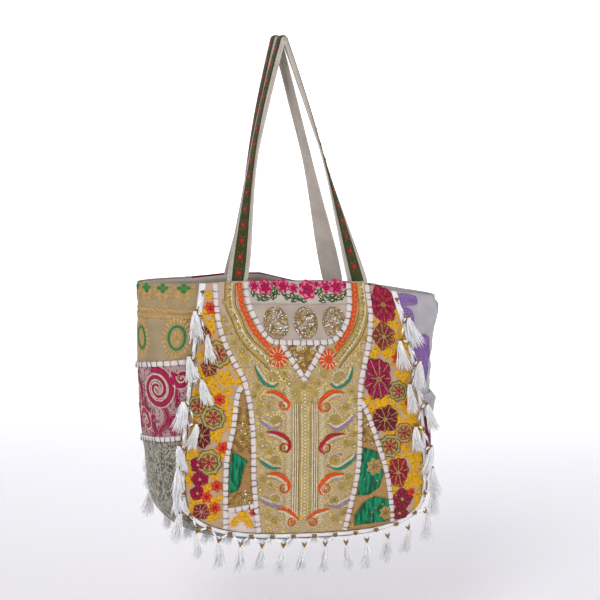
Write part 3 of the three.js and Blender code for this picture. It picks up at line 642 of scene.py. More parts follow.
def figured_finish(name, key, figure, under=None, fade=None):
    """Damask: a leafy figure woven in a second tone, that may give way to a plain cloth further down."""
    damask = Finish(name, 0.75, sheen=0.2)
    lay = damask.lay()
    figure_cells = {"Vector": lay, "Scale": 1 / FIGURE_SIZE}
    cells = damask.node("ShaderNodeTexVoronoi", figure_cells, feature="SMOOTH_F1")
    leaves = damask.plus(damask.noise(lay, 2.2 / FIGURE_SIZE), cells.outputs[0])
    drawn = damask.ramp(maths(damask.tree, "SINE", damask.times(leaves, 22.0)), -0.06, 0.06)
    weave = damask.weave(lay, 0.8)
    tone = damask.blend(drawn, shade(key, 0.62), shade(figure, 1.05))
    worn = damask.tone(damask.noise(lay, 0.05), 0.35, 0.7, tone, shade(figure, 1.15))
    seen = damask.blend(0.7, worn, tone)
    if under:
        plain = damask.blend(weave, shade(under, 0.7), shade(under, 1.1))
        seen = damask.tone(damask.down(lay), *fade, seen, plain)
    return damask.done(seen, damask.plus(weave, drawn), 0.5, 0.25)


def satin_silk_finish(name, key):
    """Glossy silk with long soft creases, with painted shade in their valleys and painted highlight on their
    ridges.
    """
    silk = Finish(name, 0.42)
    lay = silk.lay()
    drawn = silk.node("ShaderNodeMapping", {"Vector": lay, "Rotation": (0, 0, 0.9), "Scale": (0.2, 0.045, 1)})
    crease = silk.noise(drawn.outputs[0], 1.0, 2.0)
    # Painted shade and highlight: the crease relief also sets the colour. It runs from about a third of the
    # silk's colour in the valleys to nearly twice it on the ridges.
    tone = silk.tone(crease, 0.36, 0.64, shade(key, 0.35), shade(key, 1.8))
    seen = silk.blend(silk.times(silk.bands(lay, 0.6, "Y"), 0.4), tone, shade(key, 0.9))
    return silk.done(seen, crease, 1.0, 9.0)


def bead_finish(name, key, roughness, metallic, dark):
    """Glass, brass or loose cotton, a little uneven in tone."""
    bead = Finish(name, roughness, metallic)
    tone = bead.noise(bead.place(), 420.0)
    return bead.done(bead.tone(tone, 0.35, 0.65, shade(key, dark), shade(key, 1.15)), tone, 0.25, 0.2)


# Geometry Nodes: small things set along points, and cords laid along lines.

def new_tree(name, inputs):
    """Empty node tree and the sockets of its named inputs, a geometry first."""
    tree = bpy.data.node_groups.new(name, "GeometryNodeTree")
    for shown, kind in {"Geometry": "Geometry", **inputs}.items():
        tree.interface.new_socket(shown, in_out="INPUT", socket_type=f"NodeSocket{kind}")
    tree.interface.new_socket("Geometry", in_out="OUTPUT", socket_type="NodeSocketGeometry")
    return tree, node(tree, "NodeGroupInput").outputs


def end_tree(tree, given, geometry):
    """Makes the instances real, sets the material and ends the tree."""
    real = node(tree, "GeometryNodeRealizeInstances", {"Geometry": geometry}).outputs[0]
    dressed = node(tree, "GeometryNodeSetMaterial", {"Geometry": real, "Material": given["Material"]})
    node(tree, "NodeGroupOutput", {0: dressed.outputs[0]})
    return tree


def named_value(tree, name, kind="FLOAT_VECTOR"):
    return node(tree, "GeometryNodeInputNamedAttribute", {"Name": name}, data_type=kind).outputs[0]


def random_between(tree, given, low, high):
    inputs = {2: low, 3: high, "Seed": given["Seed"]}
    return node(tree, "FunctionNodeRandomValue", inputs, data_type="FLOAT").outputs[1]


def setting_tree():
    """Sets one of several small shapes on each point, turned by the point's own directions."""
    name = "tote_set_along_points"
    if name in bpy.data.node_groups:
        return bpy.data.node_groups[name]
    tree, given = new_tree(name, {
        "Shapes": "Collection", "Turn": "Float", "Uneven": "Float", "Seed": "Int", "Material": "Material"})
    shapes = node(tree, "GeometryNodeCollectionInfo", {
        "Collection": given["Shapes"], "Separate Children": True, "Reset Children": True})
    hang = node(tree, "FunctionNodeAlignRotationToVector", {"Vector": named_value(tree, "up")}, axis="Z")
    face = node(tree, "FunctionNodeAlignRotationToVector", {
        "Rotation": hang.outputs[0], "Vector": named_value(tree, "along")}, axis="X", pivot_axis="Z")
    pick = node(tree, "FunctionNodeRandomValue", {4: 0, 5: 40, "Seed": given["Seed"]}, data_type="INT")
    smallest, largest = (maths(tree, way, 1.0, given["Uneven"]) for way in ("SUBTRACT", "ADD"))
    stretch = {0: named_value(tree, "size"), "Scale": random_between(tree, given, smallest, largest)}
    scale = node(tree, "ShaderNodeVectorMath", stretch, operation="SCALE")
    put = node(tree, "GeometryNodeInstanceOnPoints", {
        "Points": given["Geometry"], "Instance": shapes.outputs[0], "Pick Instance": True,
        "Instance Index": pick.outputs[2], "Rotation": face.outputs[0], "Scale": scale.outputs[0]})
    spin = random_between(tree, given, maths(tree, "MULTIPLY", given["Turn"], -1.0), given["Turn"])
    axis = node(tree, "ShaderNodeCombineXYZ", {"Z": spin})
    turned = node(tree, "GeometryNodeRotateInstances", {
        "Instances": put.outputs[0], "Rotation": axis.outputs[0]})
    return end_tree(tree, given, turned.outputs[0])


def cord_tree():
    """Round cord along every line of the given edges, as thick as each point says."""
    name = "tote_cord_along_lines"
    if name in bpy.data.node_groups:
        return bpy.data.node_groups[name]
    tree, given = new_tree(name, {"Radius": "Float", "Sides": "Int", "Material": "Material"})
    lines = node(tree, "GeometryNodeMeshToCurve", {"Mesh": given["Geometry"]})
    thick = named_value(tree, "thick", "FLOAT")
    sized = node(tree, "GeometryNodeSetCurveRadius", {"Curve": lines.outputs[0], "Radius": thick})
    profile = node(tree, "GeometryNodeCurvePrimitiveCircle", {
        "Resolution": given["Sides"], "Radius": given["Radius"]})
    tube = node(tree, "GeometryNodeCurveToMesh", {
        "Curve": sized.outputs[0], "Profile Curve": profile.outputs[0], "Fill Caps": True})
    if "Scale" in tube.inputs:
        tree.links.new(thick, tube.inputs["Scale"])
    soft = node(tree, "GeometryNodeSetShadeSmooth", {"Geometry": tube.outputs[0]})
    return end_tree(tree, given, soft.outputs[0])


def run_tree(carrier, tree, values, name):
    """Plain mesh object from a carrier and a tree with its inputs set; the carrier is removed."""
    modifier = carrier.modifiers.new("make", "NODES")
    modifier.node_group = tree
    for item in tree.interface.items_tree:
        if item.in_out == "INPUT" and item.name in values:
            modifier[item.identifier] = values[item.name]
    carrier.update_tag()
    graph = bpy.context.evaluated_depsgraph_get()
    mesh = bpy.data.meshes.new_from_object(carrier.evaluated_get(graph), depsgraph=graph)
    carrier.modifiers.clear()
    bpy.data.objects.remove(carrier)
    mesh.name = name
    if not len(mesh.polygons):
        raise RuntimeError(f"{name} came out empty")
    return add_object(name, mesh)


def set_along(name, shapes, points, up, along, size, material, turn, uneven):
    """Copies of small shapes on points: up and along give each one's turn, size its stretch."""
    mesh = bpy.data.meshes.new(f"{name}_points")
    mesh.vertices.add(len(points))
    mesh.vertices.foreach_set("co", np.asarray(points, np.float32).ravel())
    for key, values in (("up", up), ("along", along), ("size", size)):
        set_attribute(mesh, key, np.broadcast_to(values, (len(points), 3)))
    collection = bpy.data.collections.new(f"{name}_shapes")
    for shape in shapes:
        bpy.context.scene.collection.objects.unlink(shape)
        collection.objects.link(shape)
    values = {"Shapes": collection, "Turn": turn, "Uneven": uneven, "Seed": SEED, "Material": material}
    piece = run_tree(add_object(mesh.name, mesh), setting_tree(), values, name)
    for shape in shapes:
        bpy.data.objects.remove(shape)
    bpy.data.collections.remove(collection)
    return piece


def cords_along(name, lines, material, radius, sides=6):
    """Cords along lines of points in metres; each line comes with its thickness share."""
    points = np.concatenate([line for line, _ in lines])
    ends = np.cumsum([len(line) for line, _ in lines])
    index = np.arange(len(points) - 1)
    index = index[~np.isin(index + 1, ends)]
    mesh = bpy.data.meshes.new(f"{name}_lines")
    mesh.from_pydata(points.tolist(), joined(index, index + 1).tolist(), [])
    set_attribute(mesh, "thick", np.concatenate([np.broadcast_to(share, len(line)) for line, share in lines]))
    along = np.concatenate([lengths(line) for line, _ in lines]) / MM
    set_attribute(mesh, "lay", np.pad(along[:, None], ((0, 0), (0, 2))))
    values = {"Radius": radius, "Sides": sides, "Material": material}
    return run_tree(add_object(mesh.name, mesh), cord_tree(), values, name)


def turned_shape(name, profile, sides):
    """Small round shape from rows of radius and height."""
    turn = np.linspace(0, 2 * math.pi, sides, endpoint=False)
    points = [(r * math.cos(a), r * math.sin(a), z) for r, z in profile for a in turn]
    return make_mesh(name, points, tube_faces(len(profile), sides))


def stitch_shape(number, long, radius):
    """One stitch over a ribbon or band, a little bent."""
    x = np.linspace(-0.5, 0.5, 7)
    bend = (0.05, -0.06, 0.02)[number]
    arch = np.cos(math.pi * x)
    centre = joined(x * long, bend * long * arch, 0.0011 * arch - 0.0005)
    turn = np.linspace(0, 2 * math.pi, 5, endpoint=False)
    ring = joined(0.0, np.cos(turn), np.sin(turn)) * radius
    thin = np.array([0.4, 0.9, 1, 1, 1, 0.9, 0.4])
    points = centre[:, None] + ring[None] * thin[:, None, None]
    return make_tube(f"stitch_{number}", points)


def stand(place, at, ahead, height):
    """Places of stitches on a surface, with their upward and forward directions."""
    point = place(*at.T, height)
    return point, place(*at.T, height + 1) - point, place(*ahead.T, height) - point


def set_stitches(name, rows, shapes, size, finish, slot, turn, uneven):
    """One piece of stitches from rows of places with their directions."""
    points, up, along = (np.concatenate(column) for column in zip(*rows))
    finish_piece(set_along(name, shapes, points, up, along, size, finish, turn, uneven), finish, slot)


# Embroidery laid on a surface.

class Needlework:
    """Raised stitches gathered by thread, laid on one surface of the bag."""

    def __init__(self, place):
        self.place = place
        self.threads = {}
        self.cords = {}

    def band(self, thread, path, offset, height):
        """Closed band along a flat path, from the offsets and heights of its points across."""
        side = sideways(path)
        points = self.place(path[:, :1] + side[:, :1] * offset, path[:, 1:] + side[:, 1:] * offset, height)
        lay = joined(lengths(path)[:, None], offset)
        store = self.threads.setdefault(thread, {"points": [], "lay": [], "faces": [], "count": 0})
        start, (count, n) = store["count"], offset.shape
        rows = start + n * np.arange(count)
        store["points"].append(points.reshape(-1, 3))
        store["lay"].append(lay.reshape(-1, 2))
        store["faces"] += grid_faces(count, n, start)
        store["faces"] += [[a + n - 1, a, b, b + n - 1] for a, b in zip(rows, rows[1:])]
        store["faces"] += [list(range(start, start + n))[::-1], list(range(rows[-1], rows[-1] + n))]
        store["count"] += count * n

    def satin(self, thread, path, half, rise, base):
        """Satin band along a flat path; half is its half width at each point, in millimetres."""
        path = np.asarray(path, float)
        half = np.broadcast_to(np.asarray(half, float), len(path))
        turn = np.linspace(math.pi, 0, 5)[None]
        height = base + np.sin(turn) * (rise * np.sqrt(half / max(half.max(), 1e-6)))[:, None]
        height[:, [0, -1]] = -0.6
        self.band(thread, path, np.cos(turn) * half[:, None], height)

    def cord(self, thread, path, thick, height):
        """Couched cord along a flat path."""
        self.cords.setdefault(thread, []).append((self.place(*np.asarray(path, float).T, height), thick))

    def piece(self, name, thread):
        """Closed piece of all the bands of one thread."""
        points, lay, faces, _ = self.threads[thread].values()
        return face_out(make_mesh(name, np.concatenate(points), faces, np.concatenate(lay)))

    def make(self, prefix, finishes, slots, on):
        """One piece for each satin thread and one for each cord."""
        for thread in self.threads:
            piece = self.piece(f"{prefix}_{thread}_satin", thread)
            finish_piece(piece, finishes[thread], slots.get(thread, on))
        for thread, lines in self.cords.items():
            piece = cords_along(f"{prefix}_{thread}_cord", lines, finishes[thread], sizes().gold_cord)
            finish_piece(piece, finishes[thread], slots.get(thread, on))


def layered(name, place, flat, faces, base, thick):
    """Closed cloth from flat triangles: outer side, inner side and the wall round its border."""
    count = len(flat)
    edges = dict.fromkeys((a, b) for face in faces for a, b in zip(face, face[1:] + face[:1]))
    outer, inner = (place(*flat.T, height) for height in (base + thick, base))
    every = [list(face) for face in faces] + [[k + count for k in face[::-1]] for face in faces]
    every += [[b, a, a + count, b + count] for a, b in edges if (b, a) not in edges]
    return face_out(make_mesh(name, np.concatenate([outer, inner]), every, np.concatenate([flat, flat])))


def clear_of(grid, fixed, step):
    """The points of a grid that keep most of a step to some fixed points."""
    gap = [np.sqrt(((part[:, None] - fixed[None]) ** 2).sum(-1)).min(1) for part in np.array_split(grid, 20)]
    return grid[np.concatenate(gap) > 0.6 * step]


def filled_region(name, place, outline, base, thick, step=4.0):
    """Closed cloth inside a flat outline, laid on a surface."""
    outline = even(np.concatenate([outline, outline[:1]]), step)[:-1]
    low, high = outline.min(0) + step / 2, outline.max(0)
    grid = np.meshgrid(np.arange(low[0], high[0], step), np.arange(low[1], high[1], step))
    ring = list(range(len(outline)))
    edges = [(k, (k + 1) % len(ring)) for k in ring]
    points = np.concatenate([outline, clear_of(joined(*grid).reshape(-1, 2), outline, step)])
    flat, _, faces, *_ = delaunay_2d_cdt([Vector(p) for p in points.tolist()], edges, [ring], 1, 1e-5)
    return layered(name, place, np.array([tuple(p) for p in flat]), faces, base, thick)


# Front panel: solid, a point inside the patch, slot.
FRONT_PATCHES = [
    ("front_rose_band", (0, 18), "rose"), ("front_bib", (0, 60), "cream"),
    ("front_v_insert", (-3, 105), "sequin"), ("front_yoke", (0, 250), "gold"),
    ("front_side_left", (-150, 200), "yellow"), ("front_side_right", (130, 130), "magenta"),
    ("front_wedge_left", (-100, 220), "brown"), ("front_wedge_right", (95, 260), "green"),
    ("front_hem_left", (-105, 348), "yellow"),
]
# Drop over which the bare upper yoke gives way to its gold ground.
YOKE_BARE = (24.0, 84.0)
SEAM_OVERRUN = 3.0
CLOTH_STEP = 3.6


def rim_line(rim):
    """Points along a rim from left to right."""
    s = np.linspace(-1, 1, 60)
    v = rim_drop(rim, s)
    return joined(s * half_width(v), v)


def lengthened(line, extra):
    """The same line, run on straight past both ends."""
    first, last = line[0] - line[1], line[-1] - line[-2]
    return np.concatenate([[line[0] + unit(first) * extra], line, [line[-1] + unit(last) * extra]])


def front_triangles(step):
    """Flat triangles of the whole front panel and, for each, the number of its patch."""
    outline = np.concatenate([even(FRONT_SEAM.line, step)[:-1], even(rim_line(FRONT_RIM)[::-1], step)[:-1]])
    ring = list(range(len(outline)))
    edges = [(k, (k + 1) % len(ring)) for k in ring]
    fixed = outline
    for name in [*SEAM_LINES, *STRAIGHT_SEAMS]:
        line = even(lengthened(seam_line(name), SEAM_OVERRUN), step)
        edges += [(k, k + 1) for k in range(len(fixed), len(fixed) + len(line) - 1)]
        fixed = np.concatenate([fixed, line])
    low, high = outline.min(0), outline.max(0)
    grid = joined(*np.meshgrid(np.arange(low[0], high[0], step), np.arange(low[1], high[1], step)))
    grid[1::2, :, 0] += step / 2
    every = np.concatenate([fixed, clear_of(grid.reshape(-1, 2), fixed, step)])
    flat, lines, faces, _, from_edges, _ = delaunay_2d_cdt(
        [Vector(p) for p in every.tolist()], edges, [ring], 1, 1e-4)
    flat = np.array([tuple(p) for p in flat])
    sewn = {tuple(sorted(line)) for line, source in zip(lines, from_edges) if source}
    by_edge = {}
    for k, face in enumerate(faces):
        for a, b in zip(face, face[1:] + face[:1]):
            by_edge.setdefault(tuple(sorted((a, b))), []).append(k)
    next_to = [[] for _ in faces]
    for edge, pair in by_edge.items():
        if edge not in sewn and len(pair) == 2:
            next_to[pair[0]].append(pair[1])
            next_to[pair[1]].append(pair[0])
    centres = np.array([flat[list(face)].mean(0) for face in faces])
    patch_of = np.full(len(faces), -1)
    for number, (_, probe, _) in enumerate(FRONT_PATCHES):
        waiting = [int(((centres - probe) ** 2).sum(1).argmin())]
        while waiting:
            k = waiting.pop()
            if patch_of[k] < 0:
                patch_of[k] = number
                waiting += next_to[k]
    return flat, faces, patch_of


class ToteFrontCloth(bpy.types.Operator):
    """Sew the nine cloth patches of the front panel"""

    bl_idname = "tote.front_cloth"
    bl_label = "Front cloth"

    def execute(self, context):
        blush = cloth_finish("blush_cotton", "blush")
        sand = cloth_finish("sand_cotton", "sand")
        finishes = {
            "front_rose_band": cloth_finish("greige_linen", "greige", pitch=1.0),
            "front_bib": cloth_finish("bib_linen", "bib", pitch=1.0),
            "front_v_insert": cloth_finish("sequin_cloth", "brass", pitch=1.2),
            "front_yoke": worked_ground_finish("gold_worked_cotton", "yoke", "gold", 12.0, 0.55, YOKE_BARE),
            "front_wedge_left": worked_ground_finish("old_gold_tissue", "old_gold", "old_gold", 5.0, 0.9),
            "front_wedge_right": worked_ground_finish("tan_tissue", "old_gold", "tan", 5.0, 0.9),
            "front_side_left": sand, "front_side_right": sand,
        }
        thick = sizes().cloth / MM
        flat, faces, patch_of = front_triangles(CLOTH_STEP)
        for number, (name, _, slot) in enumerate(FRONT_PATCHES):
            own = [faces[k] for k in np.flatnonzero(patch_of == number)]
            if not own:
                raise RuntimeError(f"{name} has no cloth")
            used = np.unique([k for face in own for k in face])
            renamed = {int(old): new for new, old in enumerate(used)}
            own = [[renamed[k] for k in face] for face in own]
            piece = layered(f"cloth_{name}", PLACE_FRONT, flat[used], own, -thick, thick)
            finish_piece(piece, finishes.get(name, blush), slot, name)
        return {"FINISHED"}


# Sewn ribbons: solid, line, how much of each end lies under an earlier ribbon.
RIBBONS = [
    ("ribbon_neck", "neck", 0, 0), ("ribbon_v", "vee", 5, 5), ("ribbon_yoke_left", "yoke_left", 0, 0),
    ("ribbon_yoke_right", "yoke_right", 0, 0), ("ribbon_wedge_left", "wedge_left", 6, 0),
    ("ribbon_wedge_right", "wedge_right", 6, 0), ("ribbon_wedge_hem", "wedge_hem", 5, 5),
]
# Cross seams of the left gusset, at half the depth; they lie lower at the back than in front by the slant.
UPPER_V, LOWER_V, SLANT = 131.0, 243.0, 32.0
GUSSET_RIBBONS = [("ribbon_gusset_left_1", UPPER_V), ("ribbon_gusset_left_2", LOWER_V)]
BAND_EDGE, BAND_HEIGHT = 0.06, 1.6
RIBBON_STEP, RIBBON_HEIGHT, STITCH_HEIGHT = 0.74, 0.25, 0.95


def on_front(path):
    """The part of a line that lies on the front panel."""
    s = path[:, 0] / half_width(path[:, 1])
    low, high = rim_drop(FRONT_RIM, s) + 0.4, bottom_edge(np.clip(s, -1, 1)) - 1.0
    return path[(path[:, 1] > low) & (path[:, 1] < high)]


def ribbon_paths():
    """Every stitched ribbon: solid, place function, flat path and base height."""
    for name, line, start, end in RIBBONS:
        path = even(seam_line(line), RIBBON_STEP)
        path = path[int(start / RIBBON_STEP): len(path) - int(end / RIBBON_STEP)]
        yield name, PLACE_FRONT, on_front(path), RIBBON_HEIGHT
    for name, v in GUSSET_RIBBONS:
        x = np.arange(BAND_EDGE * GIRTH, (1 - BAND_EDGE) * GIRTH, RIBBON_STEP)
        yield name, PLACE_LEFT, joined(x, v + SLANT * (x / GIRTH - 0.5)), BAND_HEIGHT


def stitch_phase(path):
    """Stitch count along a ribbon, a little uneven as by hand."""
    along = lengths(path)
    return (along + 0.9 * np.sin(along * 0.31)) / (sizes().ribbon_cell / MM)


class ToteRibbons(bpy.types.Operator):
    """Lay the puffed ribbons over the sewn lines"""

    bl_idname = "tote.ribbons"
    bl_label = "Ribbons"

    def execute(self, context):
        finish = cloth_finish("ribbon_cotton", "ribbon", pitch=0.7, wear=0.12, fold=1.0)
        half = sizes().ribbon_half / MM
        turn = np.linspace(math.pi, 0, 9)[None]
        for name, place, path, base in ribbon_paths():
            puff = np.abs(np.sin(math.pi * stitch_phase(path)))[:, None] ** 0.6
            height = base + np.sin(turn) ** 0.55 * (0.55 + 1.55 * puff)
            height[:, [0, -1]] = base - 0.5
            work = Needlework(place)
            work.band("ribbon", path, np.cos(turn) * (half * (0.8 + 0.2 * puff)), height)
            finish_piece(work.piece(f"tape_{name}", "ribbon"), finish, "ribbon", name)
        return {"FINISHED"}


class ToteBlanketStitches(bpy.types.Operator):
    """Stitch the ribbons down with indigo thread"""

    bl_idname = "tote.blanket_stitches"
    bl_label = "Blanket stitches"

    def execute(self, context):
        rows = []
        for number, (_, place, path, base) in enumerate(ribbon_paths()):
            at = np.flatnonzero(np.diff(np.floor(stitch_phase(path))) > 0) + 1
            side = sideways(path)[at]
            lean = 0.16 * np.sin(1.7 * np.arange(len(at)) + number)
            turn = side + square_to(side) * lean[:, None]
            shift = path[at] + side * (1.1 * np.sign(np.sin(number + 0.5)))
            rows.append(stand(place, shift, shift + turn, base + STITCH_HEIGHT))
        shapes = [stitch_shape(k, sizes().stitch, sizes().stitch_thread) for k in range(3)]
        finish = thread_finish("indigo_floss", "indigo")
        set_stitches("stitches_ribbon", rows, shapes, (1, 1, 1), finish, "ribbon", 0.1, 0.12)
        return {"FINISHED"}


# Ruffle across the right side: drop, half width, rise, cloth, and how high its edges lie.
RUFFLE_V, RUFFLE_HALF, RUFFLE_RISE, RUFFLE_CLOTH, RUFFLE_HEIGHT = 186.0, 17.0, 9.0, 0.8, 2.1
# Stretch of the seam, in millimetres, over which the foot's damask gives way to teal cloth.
FOOT_FADE = (400.0, 440.0)
# Millimetres between rows of a gusset cloth, its points across, and points each way on the back panel.
GUSSET_ROW, GUSSET_COLUMNS, BACK_POINTS = 3.2, 61, 97
# Gusset: solid, side, v from, v to (None for the middle of the bottom), slot.
GUSSET_PIECES = [
    ("gusset_left_upper", LEFT, 0, UPPER_V, "tan"), ("gusset_left_middle", LEFT, UPPER_V, LOWER_V, "mauve"),
    ("gusset_left_lower", LEFT, LOWER_V, CORNER_V, "damask"),
    ("gusset_bottom_left", LEFT, CORNER_V, None, "teal"),
    ("gusset_bottom_right", RIGHT, CORNER_V, None, "maroon"),
    ("gusset_right_lower", RIGHT, RUFFLE_V, CORNER_V, "maroon"),
    ("gusset_right_upper", RIGHT, 0, RUFFLE_V, "silver"),
]


def ruffle(finish):
    """Gathered silk across the right side."""
    middle = FRONT_SEAM.at_drop(RIGHT, RUFFLE_V)
    reach = RUFFLE_HALF / FRONT_SEAM.length
    across = np.linspace(0, 1, 41)[:, None]
    w = np.linspace(BAND_EDGE, 1 - BAND_EDGE, 161)[None]
    q = mix(middle + reach, middle - reach, across)
    puff = np.sin(math.pi * across)
    gather = np.sin(2 * math.pi * (w * 17 + 0.25 * np.sin(9 * w) + 0.3 * across))
    fold = np.sin(3 * math.pi * across + 1.2 * np.sin(14 * w))
    height = RUFFLE_HEIGHT + puff * (1.3 * gather + 1.5 * fold)
    outer, inner = (gusset_point(q, w, height - under, RUFFLE_RISE * puff) for under in (0, RUFFLE_CLOTH))
    lay = joined(w * GIRTH, across * 4 * RUFFLE_HALF)
    piece = make_sheet("ruffle_silk", outer, inner, lay)
    finish_piece(piece, finish, "silver", "ribbon_gusset_right")


class ToteGusset(bpy.types.Operator):
    """Sew the gusset cloths from rim to rim and the ruffle across the right one"""

    bl_idname = "tote.gusset"
    bl_label = "Gusset"

    def execute(self, context):
        finishes = {
            "tan": cloth_finish("taupe_cotton", "taupe", pitch=1.0, fold=0.6),
            "mauve": cloth_finish("mauve_cotton", "mauve", pitch=1.0, fold=0.6),
            "damask": figured_finish("grey_damask", "damask", "ash"),
            "teal": figured_finish("foot_damask", "damask", "ash", "teal_cloth", FOOT_FADE),
            "maroon": cloth_finish("maroon_cotton", "maroon", fold=0.8),
            "silver": cloth_finish("silver_silk", "silver", 0.5, 0.42, 0.4, fold=3.0, depth=0.5),
        }
        thick = sizes().cloth / MM
        rims = {LEFT: 0.0, RIGHT: 1.0}
        w = np.linspace(0, 1, GUSSET_COLUMNS)[None]
        for name, side, low, high, slot in GUSSET_PIECES:
            start = FRONT_SEAM.at_drop(side, low) if low else rims[side]
            end = 0.5 if high is None else FRONT_SEAM.at_drop(side, high)
            long = abs(end - start) * FRONT_SEAM.length
            count = max(int(long / GUSSET_ROW), 6)
            slant = np.linspace(*(SLANT if v in (UPPER_V, LOWER_V) else 0.0 for v in (low, high)), count)
            q = np.linspace(start, end, count)[:, None] + slant[:, None] * (w - 0.5) / FRONT_SEAM.length
            v = FRONT_SEAM.frame(q)[0][..., 1]
            folds = crumple(side, w * GIRTH, v) * smooth_step(CORNER_V - v, 0, 40)
            lay = joined(w * GIRTH, q * FRONT_SEAM.length)
            outer, inner = (gusset_point(q, w, folds - under) for under in (0, thick))
            piece = make_sheet(f"cloth_{name}", outer, inner, lay)
            finish_piece(piece, finishes[slot], slot, name)
        ruffle(finishes["silver"])
        return {"FINISHED"}


# Lining: how far it lies inside the panels and the sides, its bottom, how far its rim lies under the outer
# one, and its cloth; then the shape of its rings, their points, the cloth from one point to the next, the
# levels of the rings and the flat size.
LINING_IN, LINING_SIDE_IN, LINING_FOOT, LINING_RIM_DROP, LINING_CLOTH = 7.1, 7.0, 366.0, 1.5, 1.0
LINING_CURVE, LINING_SPREAD, LINING_SIDES, LINING_LAY = 2.6, 1.6, 120, 6.0
LINING_LEVELS = np.concatenate([np.linspace(0, 340, 52), [350, 358, 363, LINING_FOOT]])


def lining_ring(level, inset):
    """Closed ring of the lining at a level, set in from the outer cloth."""
    below = max(level - CORNER_V, 0) / BOTTOM_DROP
    narrow = (1 - below ** BOTTOM_CURVE) ** (1 / BOTTOM_CURVE)
    hang = clamp01(1 - level / SAG_REACH)
    turn = np.linspace(0, 2 * math.pi, LINING_SIDES, endpoint=False)
    across, deep = (np.sign(x) * np.abs(x) ** (2 / LINING_CURVE) for x in (np.cos(turn), np.sin(turn)))
    s = np.clip(across * LINING_SPREAD, -1, 1)
    v = level + mix(rim_drop(FRONT_RIM, s), rim_drop(BACK_RIM, s), (deep + 1) / 2) * hang
    bulge = side_bulge(across, v)
    u = across * ((half_width(v) + bulge - LINING_SIDE_IN) * narrow - inset)
    sag = np.where(across < 0, *GUSSET_SAG) * clamp01((np.abs(u) - half_width(v)) / bulge) + LINING_RIM_DROP
    sway = 0.7 * np.sin(6 * turn + 0.02 * level) * (1 - hang)
    return bag_point(u, v + sag * hang, deep * (half_depth(v) - LINING_IN - inset + sway))


class ToteBackAndLining(bpy.types.Operator):
    """Hang the back panel and the lining"""

    bl_idname = "tote.back_and_lining"
    bl_label = "Back and lining"

    def execute(self, context):
        thick = sizes().cloth / MM
        s = np.sin(np.linspace(-math.pi / 2, math.pi / 2, BACK_POINTS))[None]
        v = mix(rim_drop(BACK_RIM, s), bottom_edge(s), np.linspace(0, 1, BACK_POINTS)[:, None])
        u = s * half_width(v)
        outer, inner = (PLACE_BACK(u, v, height) for height in (0.0, -thick))
        piece = make_sheet("cloth_back_panel", outer, inner, joined(u, v))
        finish = cloth_finish("maroon_back_cotton", "maroon", pitch=1.1, fold=0.8)
        finish_piece(piece, finish, "maroon", "back_panel")
        levels = LINING_LEVELS
        raised = levels - np.where(levels == LINING_FOOT, LINING_CLOTH, 0.0)
        rings = np.array([lining_ring(level, LINING_CLOTH) for level in raised[::-1]]
                         + [lining_ring(level, 0.0) for level in levels])
        drop = np.concatenate([levels[::-1], levels])[:, None]
        piece = make_tube("cloth_lining", rings, joined(np.arange(LINING_SIDES)[None] * LINING_LAY, drop))
        finish_piece(piece, cloth_finish("lining_cotton", "lining", pitch=0.8, fold=0.6), "lining", "lining")
        return {"FINISHED"}


# Straps, in millimetres: width, cloth, how far from the middle they hang, bend at the crown, gap below it.
STRAP_WIDTH, STRAP_CLOTH, STRAP_SPREAD, STRAP_BEND, HANG_GAP = 31.0, 2.5, 16.3, 4.5, 0.3
CROWN_Z = STRAP_CLOTH / 2 + HANG_GAP - STRAP_BEND
STRAP_TAIL, STRAP_IN, TRIM_WIDTH, TRIM_CLOTH, TRIM_GAP = 26.0, 4.1, 18.0, 1.0, 0.3
# Fold of a margin, where up a leg it begins and ends; skew of the bow; first share above the rim.
FOLD_ANGLE, FOLD_FROM, FOLD_TO, BOW_SKEW, LIP_SHARE = 1.25, 0.45, 0.85, 1.3, 0.012
# Each leg: x of its foot, how far it bows, how soon it turns edge-on.
STRAP_LEGS = {
    "front": ((-77, -9, 3.6), (113, 4, 2.2)),
    "back": ((-61, -6, 3.6), (99, 3, 3.2)),
}
LEG_STEPS, BEND_STEPS, STRAP_STEP = 84, 12, 3.0


